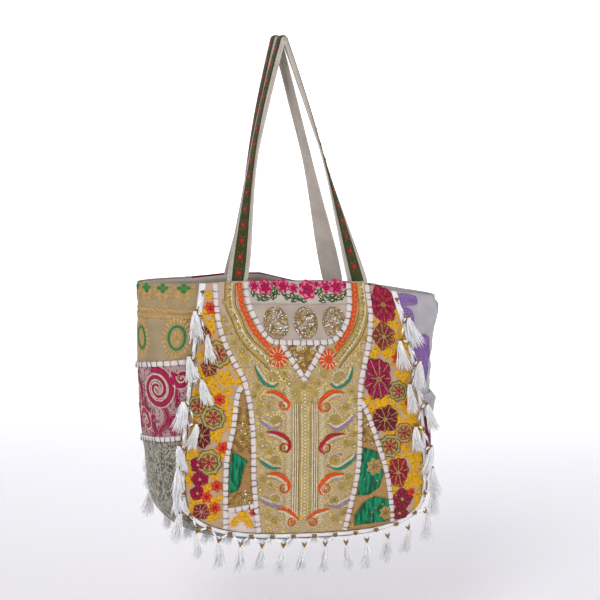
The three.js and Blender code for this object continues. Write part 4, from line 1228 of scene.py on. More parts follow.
class Strap:
    """Centre line of a strap with its directions, from the left tail to the right one."""

    def __init__(self, key):
        self.side, rim = (-1, FRONT_RIM) if key == "front" else (1, BACK_RIM)
        left, right = STRAP_LEGS[key]
        first, last = self.leg(left, rim), self.leg(right, rim)
        angle = math.pi * (1 - np.arange(1, BEND_STEPS) / BEND_STEPS)
        crown = joined(STRAP_BEND * np.cos(angle), self.side * STRAP_SPREAD,
                       CROWN_Z + STRAP_BEND * np.sin(angle))
        place = np.concatenate([first[0], crown, last[0][::-1]])
        share = np.concatenate([first[1], np.ones(len(crown)), last[1][::-1]])
        turn = np.where(np.arange(len(place)) * 2 < len(place), left[2], right[2])
        self.along_mm = lengths(place)
        along = unit(np.gradient(place, axis=0))
        loop_out = unit(joined(-along[:, 2], 0.0, along[:, 0]))
        twist = (math.pi / 2 * (1 - (1 - share) ** turn))[:, None]
        facing = np.array([0, self.side, 0]) * np.cos(twist) + loop_out * np.sin(twist)
        facing = unit(facing - along * (facing * along).sum(1, keepdims=True))
        across = np.cross(along, facing) * -self.side
        fold = (FOLD_ANGLE * smooth_step(share, FOLD_FROM, FOLD_TO))[:, None]
        self.table = np.concatenate([
            place, across, facing,
            across * np.cos(fold) - facing * np.sin(fold),
            facing * np.cos(fold) + across * np.sin(fold),
        ], 1)
        self.mouth = (self.along_mm[1], self.along_mm[-2])

    def leg(self, shape, rim):
        """Points of one leg from its tail to the crown, and how far up each lies."""
        foot, bow, _ = shape
        u = foot - PANEL_X
        top = rim_drop(rim, u / RIM_HALF_WIDTH)
        tail, mouth = (bag_point(u, v, self.side * (half_depth(v) - STRAP_IN)) / MM
                       for v in (top + STRAP_TAIL, top))
        crown = np.array([math.copysign(STRAP_BEND, foot), self.side * STRAP_SPREAD, CROWN_Z])
        share = np.concatenate([[0.0, LIP_SHARE], np.arange(1, LEG_STEPS + 1) / LEG_STEPS])
        place = mix(mouth, crown, share[:, None])
        place[:, 0] += bow * np.sin(math.pi * share ** BOW_SKEW)
        return np.concatenate([[tail], place]), np.concatenate([[0.0], share])

    def place(self, along, across, height):
        """Place at a length along the strap, a width across it and a height above its face."""
        along, across, height = np.broadcast_arrays(*(np.asarray(x, float) for x in (along, across, height)))
        at = read_off(along, self.along_mm, self.table)
        centre, side, facing, folded, fold_facing = (at[..., 3 * k: 3 * k + 3] for k in range(5))
        hinge = TRIM_WIDTH / 2
        beyond = np.maximum(across - hinge, 0)[..., None]
        near = np.minimum(across, hinge)[..., None]
        bent = smooth_step(across, hinge - 0.8, hinge + 0.8)[..., None]
        lift = unit(mix(facing, fold_facing, bent))
        return (centre + side * near + folded * beyond + lift * height[..., None]) * MM

    def band(self, name, start, end, columns, low, high):
        """Closed band along the strap and its length; low and high are heights at each column."""
        inside = (self.along_mm > start) & (self.along_mm < end)
        at_crown = self.along_mm[inside & (self.table[:, 2] > CROWN_Z - 1)]
        along = np.unique(np.concatenate([np.arange(start, end, STRAP_STEP), [end], at_crown]))[:, None]
        fray = 0.12 * np.sin(along * 0.9) * np.sign(columns)
        outer, inner = (self.place(along, columns + fray, height) for height in (high, low))
        return make_sheet(name, outer, inner, joined(columns, along)), float(along[-1, 0] - along[0, 0])


STRAPS = {key: Strap(key) for key in STRAP_LEGS}
# Sewn ridge along both margins of a strap: where it lies, its height and reach. Heights across a trim.
STRAP_HEM, HEM_RIDGE, HEM_REACH = 12.7, 0.25, 1.5
TRIM_PROFILE = np.array([0.35, 0.9, 1, 1, 1, 1, 1, 0.9, 0.35])


class ToteStraps(bpy.types.Operator):
    """Make the two linen straps with their olive trims"""

    bl_idname = "tote.straps"
    bl_label = "Straps"

    def execute(self, context):
        linen = cloth_finish("strap_linen", "linen", pitch=0.9, fold=0.6)
        olive = cloth_finish("olive_trim", "olive", pitch=0.8, wear=0.3, depth=0.35)
        half, face = STRAP_WIDTH / 2, STRAP_CLOTH / 2
        columns = np.array([-half, -half + 0.7, -half + 2.2, -12.5, -9, -4.5, 0, 4.5, 8.3, 9.0, 9.7, 12,
                            half - 2.2, half - 0.7, half])
        edge = np.abs(columns)
        bulk = face * np.where(edge > half - 0.1, 0.35, np.where(edge > half - 1, 0.85, 1.0))
        bulk = bulk + HEM_RIDGE * np.exp(-((edge - STRAP_HEM) / HEM_REACH) ** 2) - HEM_RIDGE
        trim = np.linspace(-TRIM_WIDTH / 2, TRIM_WIDTH / 2, len(TRIM_PROFILE))
        crown = face + TRIM_GAP + TRIM_CLOTH * TRIM_PROFILE
        for key, strap in STRAPS.items():
            name = f"strap_{key}"
            piece, long = strap.band(f"band_{name}", 0.0, strap.along_mm[-1], columns, -bulk, bulk)
            finish_piece(piece, linen, "linen", name)
            piece, long = strap.band(f"band_{name}_trim", *strap.mouth, trim, 0 * trim + face + 0.05, crown)
            finish_piece(piece, olive, "trim", f"{name}_trim")
        return {"FINISHED"}


# Piping and fringe: lengths in millimetres, counts, and the share of a seam left free at each end.
PIPING_RADIUS, PIPING_OUT, PIPING_IN, PIPING_STEPS, PIPING_SIDES = 3.0, 4.1, 1.2, 420, 14
TASSEL_COUNT, TASSEL_LENGTH, FRINGE_ENDS = 31, 42.0, 0.012
STRAND_OUT, STRAND_DROP, STRAND_FALL = 3.0, 13.0, 1.2
TURN_FORWARD, HEAD_FORWARD, SKIRT_FORWARD = 3.9, 6.5, 10.0
TASSEL_SWAY, TASSEL_ASIDE, SWAY_STEP = 5.0, 4.0, 2.4
SEAM_SIDES = {"front": (FRONT_SEAM, -1), "back": (BACK_SEAM, 1)}


class TotePiping(bpy.types.Operator):
    """Run the white piping round both seams"""

    bl_idname = "tote.piping"
    bl_label = "Piping"

    def execute(self, context):
        finish = cloth_finish("white_piping", "white", pitch=0.8, wear=0.1, fold=0.8)
        q = np.linspace(0, 1, PIPING_STEPS)
        turn = np.linspace(0, 2 * math.pi, PIPING_SIDES, endpoint=False)[None]
        for key, (seam, side) in SEAM_SIDES.items():
            point, out = seam.frame(q)
            at = point + out * PIPING_OUT
            pull = 1 + 0.05 * np.sin(q * 331) + 0.04 * np.sin(q * 173 + 1)
            pull = pull + 0.65 * smooth_step(-point[:, 1], -80, -25)
            swell = (PIPING_RADIUS * pull)[:, None]
            off = np.cos(turn) * swell
            y = side * (half_depth(point[:, 1])[:, None] - PIPING_IN + np.sin(turn) * swell)
            rings = bag_point(at[:, :1] + out[:, :1] * off, at[:, 1:] + out[:, 1:] * off, y)
            lay = joined(turn * PIPING_RADIUS, (q * seam.length)[:, None])
            finish_piece(make_tube(f"cord_piping_{key}", rings, lay), finish, "white", f"piping_{key}")
        return {"FINISHED"}


def fringe_turns(seam, side):
    """Turns of the bead strand in order, each as place, outward direction, hem and lean."""
    def before(at, forward):
        return bag_point(*at, side * (half_depth(at[1]) + forward))

    turns = []
    for k in range(2 * TASSEL_COUNT + 1):
        point, out = seam.frame(mix(FRINGE_ENDS, 1 - FRINGE_ENDS, k / (2 * TASSEL_COUNT)))
        facing = np.array([out[0], 0, -out[1]])
        root = point + out * STRAND_OUT
        if k % 2 == 0:
            turns.append((before(root, TURN_FORWARD), facing, None, 1))
            continue
        lean = -1 if k % 4 == 3 and point[1] < LEVEL_V else 1
        head = root + unit(out * lean + np.array([0, STRAND_FALL])) * STRAND_DROP
        sway = lean * TASSEL_ASIDE * abs(out[0]) + TASSEL_SWAY * math.sin(SWAY_STEP * k)
        hem = head + (np.sign(out[0]) * sway, TASSEL_LENGTH)
        turns.append((before(head, HEAD_FORWARD), facing, before(hem, SKIRT_FORWARD), lean))
    return turns


def string_tubes(key, places, side, finish):
    """White tube beads, one on each run between two turns."""
    run = np.diff(places, axis=0)
    profile = ((0.0008, -0.5), (0.0014, -0.46), (0.0015, 0), (0.0014, 0.46), (0.0008, 0.5))
    shape = turned_shape("tube_bead", [(radius, share * sizes().tube_bead) for radius, share in profile], 8)
    piece = set_along(f"beads_tube_{key}", [shape], places[:-1] + run * 0.5, unit(run), (0, side, 0.1),
                      (1, 1, 1), finish, 0.5, 0.12)
    finish_piece(face_out(piece), finish, "white")


def string_brass(key, turns, places, along, finish):
    """Clusters of three brass beads at the turns and a small one beside each end of a tube bead."""
    radius = sizes().brass_bead
    profile = ((0.25, -1), (0.72, -0.7), (1, 0), (0.72, 0.7), (0.25, 1))
    shape = turned_shape("brass_bead", [(r * radius, z * radius) for r, z in profile], 8)
    points, scale = [], []
    for (place, facing, hem, lean), way in zip(turns, along):
        out = unit(facing - way * facing.dot(way)) * (lean if hem is not None else 1)
        points += [place - way * 0.95 * radius, place + way * 0.95 * radius, place + out * 1.5 * radius]
        scale += [1.0, 1.0, 1.05]
    run = np.diff(places, axis=0)
    for share in (0.19, 0.81):
        points += list(places[:-1] + run * share)
        scale += [0.62] * len(run)
    size = np.repeat(np.array(scale)[:, None], 3, 1)
    piece = set_along(f"beads_brass_{key}", [shape], points, (0, 0, 1), (1, 0, 0), size, finish, 3.1, 0.08)
    finish_piece(face_out(piece), finish, "sequin")


def tassel_shape(number):
    """Loose threads from a bound neck to a flared, frayed skirt, bent a little to one side."""
    random = np.random.default_rng(SEED + number)
    share = np.array([0, 0.07, 0.16, 0.38, 0.65, 0.86, 1.0])
    flare = np.array([2.4, 1.9, 3.4, 5.2, 7.4, 9.4, 11.0]) * (1.0, 0.8, 1.2, 0.9, 1.1)[number]
    fat = 0.66 * np.array([1, 1, 1.05, 1, 0.95, 0.85, 0.45])[:, None]
    golden_turn = 2.399963
    count, rings, sides = sizes().tassel_threads, len(share), 3
    bend = random.uniform(-7.0, 7.0, 2)
    points, faces = [], []
    for thread in range(count):
        angle = golden_turn * thread
        end = random.uniform(0.78, 1.08)
        wave = random.uniform(-1.6, 1.6, 2)
        spread = math.sqrt((thread + 0.5) / count) * flare * random.uniform(0.8, 1.12)
        turn = angle + 2 * math.pi * np.arange(sides) / sides
        x = spread * math.cos(angle) + bend[0] * share ** 2 + wave[0] * np.sin(5 * share)
        y = spread * math.sin(angle) + bend[1] * share ** 2 + wave[1] * np.sin(4 * share)
        z = -sizes().tassel / MM * share * end
        line, ring = joined(x, y, z)[:, None], joined(np.cos(turn), np.sin(turn), 0.0)
        points.append((line + fat[..., None] * ring) * MM)
        start = thread * rings * sides
        faces += [[start + k for k in face[::-1]] for face in tube_faces(rings, sides)]
    return face_out(make_mesh(f"tassel_{number}", np.concatenate(points), faces))


def hang_tassels(key, turns, along, finish):
    """Cotton tassels of loose threads, each hanging from its turn to its hem."""
    heads, up, size = [], [], []
    for (place, facing, hem, lean), way in zip(turns, along):
        if hem is None:
            continue
        out = unit(facing - way * facing.dot(way))
        head = place + out * lean * 3.6 * MM + np.array([0, 0, -1.6 * MM])
        heads.append(head)
        up.append(unit(head - hem))
        size.append((1, 1, np.linalg.norm(head - hem) / sizes().tassel))
    shapes = [tassel_shape(k) for k in range(5)]
    piece = set_along(f"tassels_{key}", shapes, heads, up, (1, 0, 0), size, finish, 3.1, 0.07)
    finish_piece(piece, finish, "white", f"fringe_{key}")


class ToteFringe(bpy.types.Operator):
    """String the beads along both seams and hang the cotton tassels"""

    bl_idname = "tote.fringe"
    bl_label = "Beads and tassels"

    def execute(self, context):
        white = bead_finish("white_glass", "white", 0.35, 0.0, 0.85)
        brass = bead_finish("worn_brass", "brass", 0.28, 0.6, 0.6)
        cotton = bead_finish("tassel_cotton", "white", 0.85, 0.0, 0.9)
        for key, (seam, side) in SEAM_SIDES.items():
            turns = fringe_turns(seam, side)
            places = np.array([turn[0] for turn in turns])
            along = unit(np.gradient(places, axis=0))
            finish_piece(cords_along(f"strand_{key}", [(places, 1.0)], white, 0.5 * MM, 5), white, "white")
            string_tubes(key, places, side, white)
            string_brass(key, turns, places, along, brass)
            hang_tassels(key, turns, along, cotton)
        return {"FINISHED"}


# Stage, in metres: height of the floor, reach of the wall, radius of the turn between them, top of the wall.
STAGE_FLOOR, STAGE_WALL, STAGE_TURN, STAGE_TOP = -0.93, 4.4, 0.9, 2.4
BAG_MIDDLE, WALL_SPOT = (0, 0, -0.45), (1.2, 4.0, -0.5)
# Soft lights: name, place, what it is aimed at, power and size.
LIGHTS = [
    ("key_light", (-1.6, -2.2, 1.3), BAG_MIDDLE, 43, 1.2),
    ("fill_light", (1.9, -2.2, 0.3), BAG_MIDDLE, 12, 1.8),
    ("top_light", (0.2, 0.3, 1.9), BAG_MIDDLE, 14, 2.0),
    ("wall_light", (0.7, 1.6, 1.6), WALL_SPOT, 34, 2.4),
]
CAMERA_PLACE, CAMERA_TILT, CAMERA_TURN, CAMERA_LENS = (-0.9051, -2.8867, 0.0310), 82, -18, 120.83


class ToteStage(bpy.types.Operator):
    """Set the pale sweep, the soft lights and the camera"""

    bl_idname = "tote.stage"
    bl_label = "Stage"

    def execute(self, context):
        self.sweep()
        self.lights(context.scene)
        context.scene.view_settings.view_transform = "Standard"
        self.camera(context.scene)
        return {"FINISHED"}

    def sweep(self):
        """Round floor that turns up into a wall and grows paler with distance, by painted light: it glows
        though it is no lamp.
        """
        angle = np.linspace(0, math.pi / 2, 13)
        reach = np.concatenate([[0.5], STAGE_WALL - STAGE_TURN * (1 - np.sin(angle)), [STAGE_WALL]])[:, None]
        z = np.concatenate([[0.0], STAGE_TURN * (1 - np.cos(angle)), [STAGE_TOP]])[:, None] + STAGE_FLOOR
        turn = np.linspace(0, 2 * math.pi, 96, endpoint=False)
        rings = joined(reach * np.cos(turn), reach * np.sin(turn), z)
        faces = ring_faces(*rings.shape[:2]) + [list(range(len(turn)))[::-1]]
        floor = make_mesh("stage_sweep", rings, faces)
        paper = Finish("pale_paper", 0.95)
        place = paper.place()
        away = paper.node("ShaderNodeVectorMath", {0: place}, operation="LENGTH").outputs["Value"]
        up = paper.node("ShaderNodeSeparateXYZ", {0: place}).outputs[2]
        far = paper.ramp(away, 1.5, 3.6)
        paper.link("Base Color", paper.blend(far, (0.9, 0.89, 0.92, 1), (0.9, 0.895, 0.93, 1)))
        # Painted light: a faint glow everywhere, stronger with distance and on the floor, weak high on the
        # wall.
        paper.sockets["Emission Color"].default_value = (1.0, 0.99, 1.0, 1)
        glow = maths(paper.tree, "SUBTRACT", 0.45, paper.times(paper.ramp(up, -0.3, 0.2), 0.4))
        paper.link("Emission Strength", paper.plus(0.1, paper.times(far, glow)))
        floor.data.materials.append(paper.material)

    def lights(self, scene):
        for name, place, aim, power, size in LIGHTS:
            lamp = bpy.data.lights.new(name, "AREA")
            lamp.energy, lamp.size = power, size
            light = add_object(name, lamp)
            light.location = place
            light.rotation_euler = (Vector(aim) - light.location).to_track_quat("-Z", "Y").to_euler()
        world = bpy.data.worlds.new("studio_air")
        world.use_nodes = True
        world.node_tree.nodes["Background"].inputs[0].default_value = (0.93, 0.93, 0.97, 1)
        world.node_tree.nodes["Background"].inputs[1].default_value = 0.22
        scene.world = world

    def camera(self, scene):
        lens = bpy.data.cameras.new("photo_camera")
        lens.sensor_width, lens.lens = 36.0, CAMERA_LENS
        eye = add_object("photo_camera", lens)
        eye.location = CAMERA_PLACE
        eye.rotation_euler = (math.radians(CAMERA_TILT), 0, math.radians(CAMERA_TURN))
        scene.camera = eye


# Motifs of the needlework, in millimetres on their own surface.

def rays(count, turn=0.0, reach=1.0):
    """Directions evenly round a point, each as long as a reach, which may be a pair."""
    for k in range(count):
        angle = turn + 2 * math.pi * k / count
        yield np.array([math.cos(angle), math.sin(angle)]) * reach


def circle(centre, radius, count, start=0.0, sweep=2 * math.pi):
    """Points round a centre; radius may be a pair."""
    across, down = np.broadcast_to(radius, 2)
    turn = start + np.linspace(0, sweep, count)
    return joined(centre[0] + across * np.cos(turn), centre[1] + down * np.sin(turn))


def spiral(centre, radius, turns, start=0.0, hand=1):
    """Line that winds in toward a centre."""
    share = np.linspace(0, 1, int(11 * turns) + 3)
    reach = radius * (1 - 0.86 * share)
    turn = start + hand * 2 * math.pi * turns * share
    return joined(centre[0] + reach * np.cos(turn), centre[1] + reach * np.sin(turn))


def beside(path, *offsets):
    """Lines beside a flat line; an offset is one distance or one for each point."""
    return [path + sideways(path) * np.reshape(offset, (-1, 1)) for offset in offsets]


def other_hand(number):
    """Left and right by turns."""
    return 1 if number % 2 else -1


def petal(work, thread, root, tip, half, rise, base, fullness=0.75, bend=0.0):
    """One satin petal or leaf from its root to its tip."""
    root, tip = np.asarray(root, float), np.asarray(tip, float)
    share = np.linspace(0, 1, 7)
    run = tip - root
    path = root + run * share[:, None] + square_to(run) * (bend * np.sin(math.pi * share))[:, None]
    work.satin(thread, path, half * np.sin(math.pi * (0.04 + 0.92 * share ** fullness)), rise, base)


def daisy(work, centre, radius, thread, eye, count, wide, turn, inner, base=0.15):
    """Round flower of satin petals with a wound eye."""
    for ray in rays(count, turn, radius):
        petal(work, thread, centre + ray * inner, centre + ray, wide * radius, 0.7, base, 1.2)
    work.cord(eye, spiral(centre, radius * 0.26, 1.5, turn), 1.1, base + 0.9)


def ring_flower(work, centre, radius, ring, turn):
    """Flower inside a scalloped ring, outlined by cord."""
    around = np.linspace(0, 2 * math.pi, 49)
    lobes = radius * (1 + 0.07 * np.cos(8 * (around - turn)))
    scallop = joined(np.cos(around), np.sin(around)) * lobes[:, None]
    work.satin("tan", circle(centre, radius * 0.4, 15), radius * 0.42, 0.3, 0.75)
    work.satin(ring, centre + scallop * 0.84, radius * 0.12, 0.9, 0.7)
    work.cord("rust", centre + scallop, 0.9, 0.85)
    daisy(work, centre, radius * 0.66, "rust", "red", 7, 0.27, turn, 0.22, 1.0)
    work.cord("plum", circle(centre, radius * 0.7, 30), 0.8, 1.0)
    for ray in rays(7, turn + math.pi / 7, radius * 0.56):
        work.cord("tan", circle(centre + ray, radius * 0.06, 6), 0.8, 1.3)


def spray(work, centre, thread, count, long, half, aim, spread=2.6):
    """Fan of satin leaves from one point."""
    centre = np.asarray(centre, float)
    for k in range(count):
        part = k / (count - 1) - 0.5
        angle = aim + spread * part
        ray = np.array([math.cos(angle), math.sin(angle)])
        reach = long * (1.0 - 0.36 * abs(part))
        petal(work, thread, centre - ray * 1.5, centre + ray * reach, half, 0.8, 0.15 + 0.05 * k, 0.85, 0.08)
    work.cord("rust", [centre - (1.2, 0), centre, centre + (1.2, 0.6)], 0.8, 0.9)


# Rings of a bloom's petals: where they begin and end, their base height and half width.
BLOOM_RINGS = ((0.3, 1.06, 0.5, 0.34), (0.05, 0.62, 1.0, 0.24))
BLOOM_PETALS = 9
# A bloom of a larger mean radius has a seed on each petal.
SEEDED_BLOOM = 15


def bloom(work, centre, radius, thread, vein, turn):
    """Large worked flower: two rings of outlined petals with veins, long and short by turns."""
    radius = np.asarray(radius, float)
    wide = radius.mean()
    share = np.linspace(0, 1, 9)[:, None]
    swell = np.sin(math.pi * share ** 1.3) ** 0.8
    for ring, (inner, outer, base, half) in enumerate(BLOOM_RINGS):
        petals = BLOOM_PETALS - 2 * ring
        for k, way in enumerate(rays(petals, turn + math.pi * ring / petals)):
            ray = radius * way
            root, tip = centre + ray * inner, centre + ray * outer * (1 - 0.13 * (k % 2))
            petal(work, thread, root, tip, half * wide, 0.7, base, 1.3)
            side = half * wide * square_to(way)
            for hand in (-1, 1):
                work.cord("plum", mix(root, tip, share) + side * swell * hand, 0.7, base + 0.3)
            work.cord(vein, [mix(root, tip, part) for part in (0.2, 0.55, 0.92)], 0.75, base + 0.75)
            if wide > SEEDED_BLOOM:
                seed = mix(root, tip, 0.62)
                petal(work, "leaf", seed - ray * 0.07, seed + ray * 0.12, 0.08 * wide, 0.4, base + 0.5)
    work.cord("tan", spiral(centre, 0.16 * wide, 2), 0.9, 1.8)


def paisley(work, thread, path, centre, radius, half):
    """Coloured crescent round a gold whorl, with gold teeth and outlines."""
    path = even(spline(path, 8), 1.6)
    middle = len(path) // 2
    body = 1.2 * half * np.sin(math.pi * (0.03 + 0.9 * np.linspace(0, 1, len(path)))) ** 0.8
    work.satin(thread, path, body, 0.7, 1.0)
    side = sideways(path)
    side = side * np.sign(((np.asarray(centre, float) - path[middle]) * side[middle]).sum())
    work.cord("gold", path - side * (body + 0.7)[:, None], 0.9, 0.45)
    work.cord("gold", path + side * (body + 0.6)[:, None], 0.8, 0.45)
    for k in range(2, len(path) - 2, 2):
        root = path[k] + side[k] * (body[k] + 1.0)
        work.cord("cream", circle(root + side[k] * 1.2, 1.3, 8), 1.0, 0.8)
        work.cord("gold", [root + side[k] * 3.2, root + side[k] * 6.0], 0.85, 0.4)
    hand = 1 if centre[0] > TRUNK_U else -1
    work.cord(thread if half > 2.5 else "gold", circle(centre, radius * 0.95, 18), 1.4, 1.0)
    work.cord("gold", spiral(centre, radius * 0.74, 1.7, 0.4, hand), 0.9, 0.6)
    work.cord("gold", circle(centre, radius * 1.2, 20), 0.9, 0.4)
    for ray in rays(16, reach=radius):
        petal(work, "cream", centre + 1.25 * ray, centre + 1.75 * ray, 0.9, 0.6, 0.3)


def loose_loops(work, random, spots, *threads):
    """Small loops of metal thread, each thread in turn."""
    for k, at in enumerate(spots):
        loop = spiral(at, random.uniform(2.6, 4.2), 1.3, 1.7 * k, other_hand(k))
        work.cord(threads[k % len(threads)], loop, 1.15, 0.4)


# Rings of a rose: thread, share of its radius, petals, base height.
ROSE_RINGS = (
    ("pink", 1.0, 7, 0.15), ("blush_pink", 0.86, 5, 0.45), ("magenta", 0.66, 6, 0.8), ("pink", 0.36, 4, 1.2),
)


def rose(work, centre, radius, turn):
    """Full rose: rings of petals, pale among dark, round a dark heart."""
    for number, (thread, share, count, base) in enumerate(ROSE_RINGS):
        daisy(work, centre, radius * share, thread, "magenta", count, 0.46, turn + 0.4 * number, 0.1, base)


def curled_sprig(work, centre, radius, hand, start):
    """Stem that curls in on itself, with broad leaves along both sides."""
    stem = even(spline(spiral(centre, radius, 0.85, start, hand), 4), 1.4)
    work.satin("leaf", stem, 1.4, 0.6, 0.2)
    side = sideways(stem)
    outward = np.sign(((stem - np.asarray(centre, float)) * side).sum(1))[:, None] * side
    forward = unit(np.gradient(stem, axis=0))
    for k in range(1, len(stem) - 4, 5):
        tip = stem[k] + outward[k] * (7.6 if k % 2 else -5.0) + forward[k] * 7.0
        petal(work, "leaf", stem[k], tip, 4.2, 0.6, 0.3, 0.9, 0.12 * hand)
        near, far = mix(stem[k], tip, 0.3), mix(stem[k], tip, 0.8)
        petal(work, "cream", near, far, 1.1, 0.5, 0.75, 0.9, 0.12 * hand)
    work.cord("lime", stem[2:-4], 0.6, 0.9)


# Charts of the front panel. Coloured paisleys: thread, half width, whorl centre and radius, crescent.
PAISLEYS = [
    ("teal", 2.2, (-54, 142), 8.5, [(-80, 121), (-74, 136), (-65, 148), (-53, 152), (-44, 147)]),
    ("orange", 3.0, (-37, 180), 6.6, [(-64, 161), (-50, 161), (-36, 169), (-29, 179), (-33, 188)]),
    ("lavender", 1.9, (-49, 205), 7.5, [(-74, 203), (-55, 215), (-40, 209)]),
    ("red", 3.0, (-37, 244), 6.6, [(-64, 220), (-48, 222), (-33, 230), (-28, 243), (-34, 253)]),
    ("teal", 2.1, (-50, 265), 7.0, [(-78, 260), (-59, 274), (-42, 275)]),
    ("orange", 3.0, (-36, 307), 6.6, [(-64, 284), (-48, 284), (-34, 292), (-28, 304), (-32, 314)]),
    ("lavender", 1.9, (-50, 324), 6.0, [(-76, 321), (-59, 331), (-39, 335)]),
    ("orange", 2.8, (-24, 359), 6.0, [(-46, 338), (-30, 341), (-12, 356)]),
    ("teal", 2.2, (53, 142), 8.5, [(74, 125), (67, 144), (48, 155), (37, 149)]),
    ("orange", 3.0, (28, 184), 6.6, [(58, 163), (41, 161), (25, 170), (18, 182), (23, 193)]),
    ("lavender", 1.9, (43, 204), 7.5, [(31, 209), (45, 218), (63, 209), (74, 196)]),
    ("red", 3.0, (29, 246), 6.6, [(58, 225), (38, 227), (24, 237), (19, 248), (27, 256)]),
    ("teal", 2.1, (43, 266), 7.0, [(34, 275), (50, 279), (69, 268), (77, 258)]),
    ("orange", 3.0, (29, 308), 6.6, [(58, 287), (38, 288), (23, 299), (18, 310), (24, 319)]),
    ("lavender", 1.9, (43, 328), 6.0, [(32, 335), (50, 337), (72, 325)]),
    ("orange", 2.8, (10, 360), 6.0, [(36, 341), (14, 345), (0, 357)]),
]
ORANGE_STRIPS = [
    [(-93, 2), (-93, 21), (-91, 37), (-86, 50), (-82, 60), (-76, 71), (-69, 81), (-55, 97)],
    [(88, 2), (87, 24), (83, 43), (76, 64), (65, 80), (48, 99)],
]
GOLD_BANDS = [
    [(-106, 2), (-109, 21), (-109, 37), (-102, 54), (-96, 73), (-84, 91), (-67, 107), (-52, 122)],
    [(100, 2), (99, 39), (92, 62), (80, 83), (60, 105), (46, 120)],
]
# Gold whorls: u, v, radius.
GOLD_WHORLS = [
    (-94, 113, 9), (-108, 88, 8), (-118, 70, 6.5), (-121, 55, 6), (-117, 30, 5), (-97, 100, 5),
    (88, 106, 9), (96, 82, 6), (90, 122, 6), (-35, 134, 6), (-28, 148, 6), (-20, 163, 6), (-76, 152, 6),
    (-82, 166, 6), (-74, 178, 6), (-62, 182, 7), (-76, 192, 5), (-72, 225, 6), (-70, 241, 7), (-60, 250, 5),
    (-70, 292, 7), (-58, 304, 6), (-74, 308, 6), (-62, 348, 6), (-50, 356, 6), (26, 134, 6), (18, 148, 6),
    (11, 163, 6), (70, 160, 6), (76, 174, 5), (60, 184, 7), (72, 226, 6), (62, 240, 7), (74, 244, 5),
    (66, 292, 6), (56, 306, 7), (72, 308, 5), (58, 348, 6), (44, 356, 6), (-4, 152, 5), (-13, 176, 4.5),
    (5, 176, 4.5),
]
TRUNK_U, TRUNK_TOP, TRUNK_FOOT, PALM_TOP = -4.0, 160.0, 352.0, 142.0
NECK_FLOWERS = [(-43, 109), (35, 113)]
MEDALLIONS = [(-42, 60), (4, 60), (50, 60)]
MEDALLION_HALF = (19.0, 23.0)
ROSES = [
    (-70, 7, 8.5), (-53, 9, 12.5), (-38, 4, 5.5), (-25, 7, 10.5), (-9, 10, 8), (13, 12, 15), (28, 4, 5.5),
    (42, 8, 10), (59, 8, 12.5), (73, 5, 5.5),
]
# Curled leaf sprigs of the rose band: u, v, radius, hand, start.
CURLS = [
    (-66, 25, 8, 1, 3.4), (-50, 25, 8, -1, 0.3), (-36, 17, 10, 1, 2.2), (-20, 25, 8, -1, 0.8),
    (-3, 26, 7, 1, 3.0), (27, 18, 11, -1, 1.4), (43, 25, 8, 1, 2.8), (58, 26, 7, -1, 0.2),
    (70, 20, 7, 1, 2.0),
]
RING_FLOWERS = [
    (-134, 105, 19, "lime"), (-168, 181, 16, "lime"), (-145, 198, 18, "lime"), (-152, 265, 19, "lime"),
    (146, 162, 15, "lime"), (155, 226, 15, "tan"), (132, 246, 17.5, "lime"),
]
ORANGE_FLOWERS = [
    (-140, 39, 10.5), (-135, 171, 10), (-131, 243, 10.5), (-140, 301, 10), (-156, 317, 10), (-143, 334, 10),
    (-148, 88, 7), (147, 113, 10), (164, 180, 8), (168, 318, 7), (-84, 343, 6),
]
# Yellow sprays of the hem patch: u, v, aim.
HEM_SPRAYS = [(-99, 348, 0.2), (-99, 348, 3.3), (-116, 355, 0.4), (-87, 357, 2.4)]
SPRAY_ROW, SPRAY_STEP = 12.5, 12.5
# Large flowers: u, v, half sizes, petal thread, vein thread.
BLOOMS = [
    (-163, 224, (14, 19), "plum", "tan"), (-164, 339, (13, 12), "magenta", "tan"),
    (-149, 125, (12, 13), "rust", "tan"), (-152, 78, (9, 13), "magenta", "tan"),
    (-169, 268, (11, 12), "magenta", "pink"), (-166, 290, (13, 12), "magenta", "pink"),
    (-170, 311, (11, 11), "magenta", "pink"), (131, 33, (22, 28), "magenta", "orange"),
    (127, 80, (18, 20), "rust", "tan"), (114, 143, (22, 33), "magenta", "tan"),
    (124, 204, (22, 21), "plum", "tan"), (146, 287, (17, 24), "red", "tan"),
    (153, 329, (17, 16), "magenta", "rust"), (149, 351, (14, 10), "magenta", "rust"),
]
# Silk patches sewn over the wedges, and the gold leaves and sequins on them.
GREEN_PATCHES = {
    "left": [(-117, 247), (-93, 263), (-99, 276), (-104, 299), (-109, 309), (-124, 314), (-122, 296),
             (-121, 273)],
    "upper": [(87, 246), (111, 253), (117, 272), (122, 288), (116, 309), (98, 321), (80, 321), (83, 285)],
    "lower": [(76, 352), (88, 334), (108, 323), (133, 329), (137, 362), (76, 368)],
}
GOLD_LEAVES = [(107, 277, 12), (127, 350, 10)]
PATCH_SEQUINS = [
    (90, 296), (99, 304), (112, 299), (122, 336), (110, 341), (104, 348), (103, 357), (110, 364),
    (-96, 268),
]
WEDGE_WHORLS = [
    (-100, 200, 5), (-98, 211, 6), (-93, 224, 6), (-104, 224, 5.5), (-98, 236, 5), (-108, 320, 5),
    (-95, 318, 5.5), (-118, 322, 5), (-101, 327, 5), (92, 214, 4), (98, 226, 5), (91, 232, 4),
    (-106, 212, 4),
]

FLOSS = ("orange", "yellow", "teal", "lavender", "red", "magenta", "pink", "blush_pink", "leaf", "green",
         "lime", "rust", "plum", "tan", "cream")
# Triangle of the V insert: its middle and its top.
V_MIDDLE, V_TOP = -3, 93
# Where the lower seam of a side panel takes over from the upper one.
SIDE_SEAMS = {LEFT: ("yoke_left", "wedge_left", 149), RIGHT: ("yoke_right", "wedge_right", 172)}


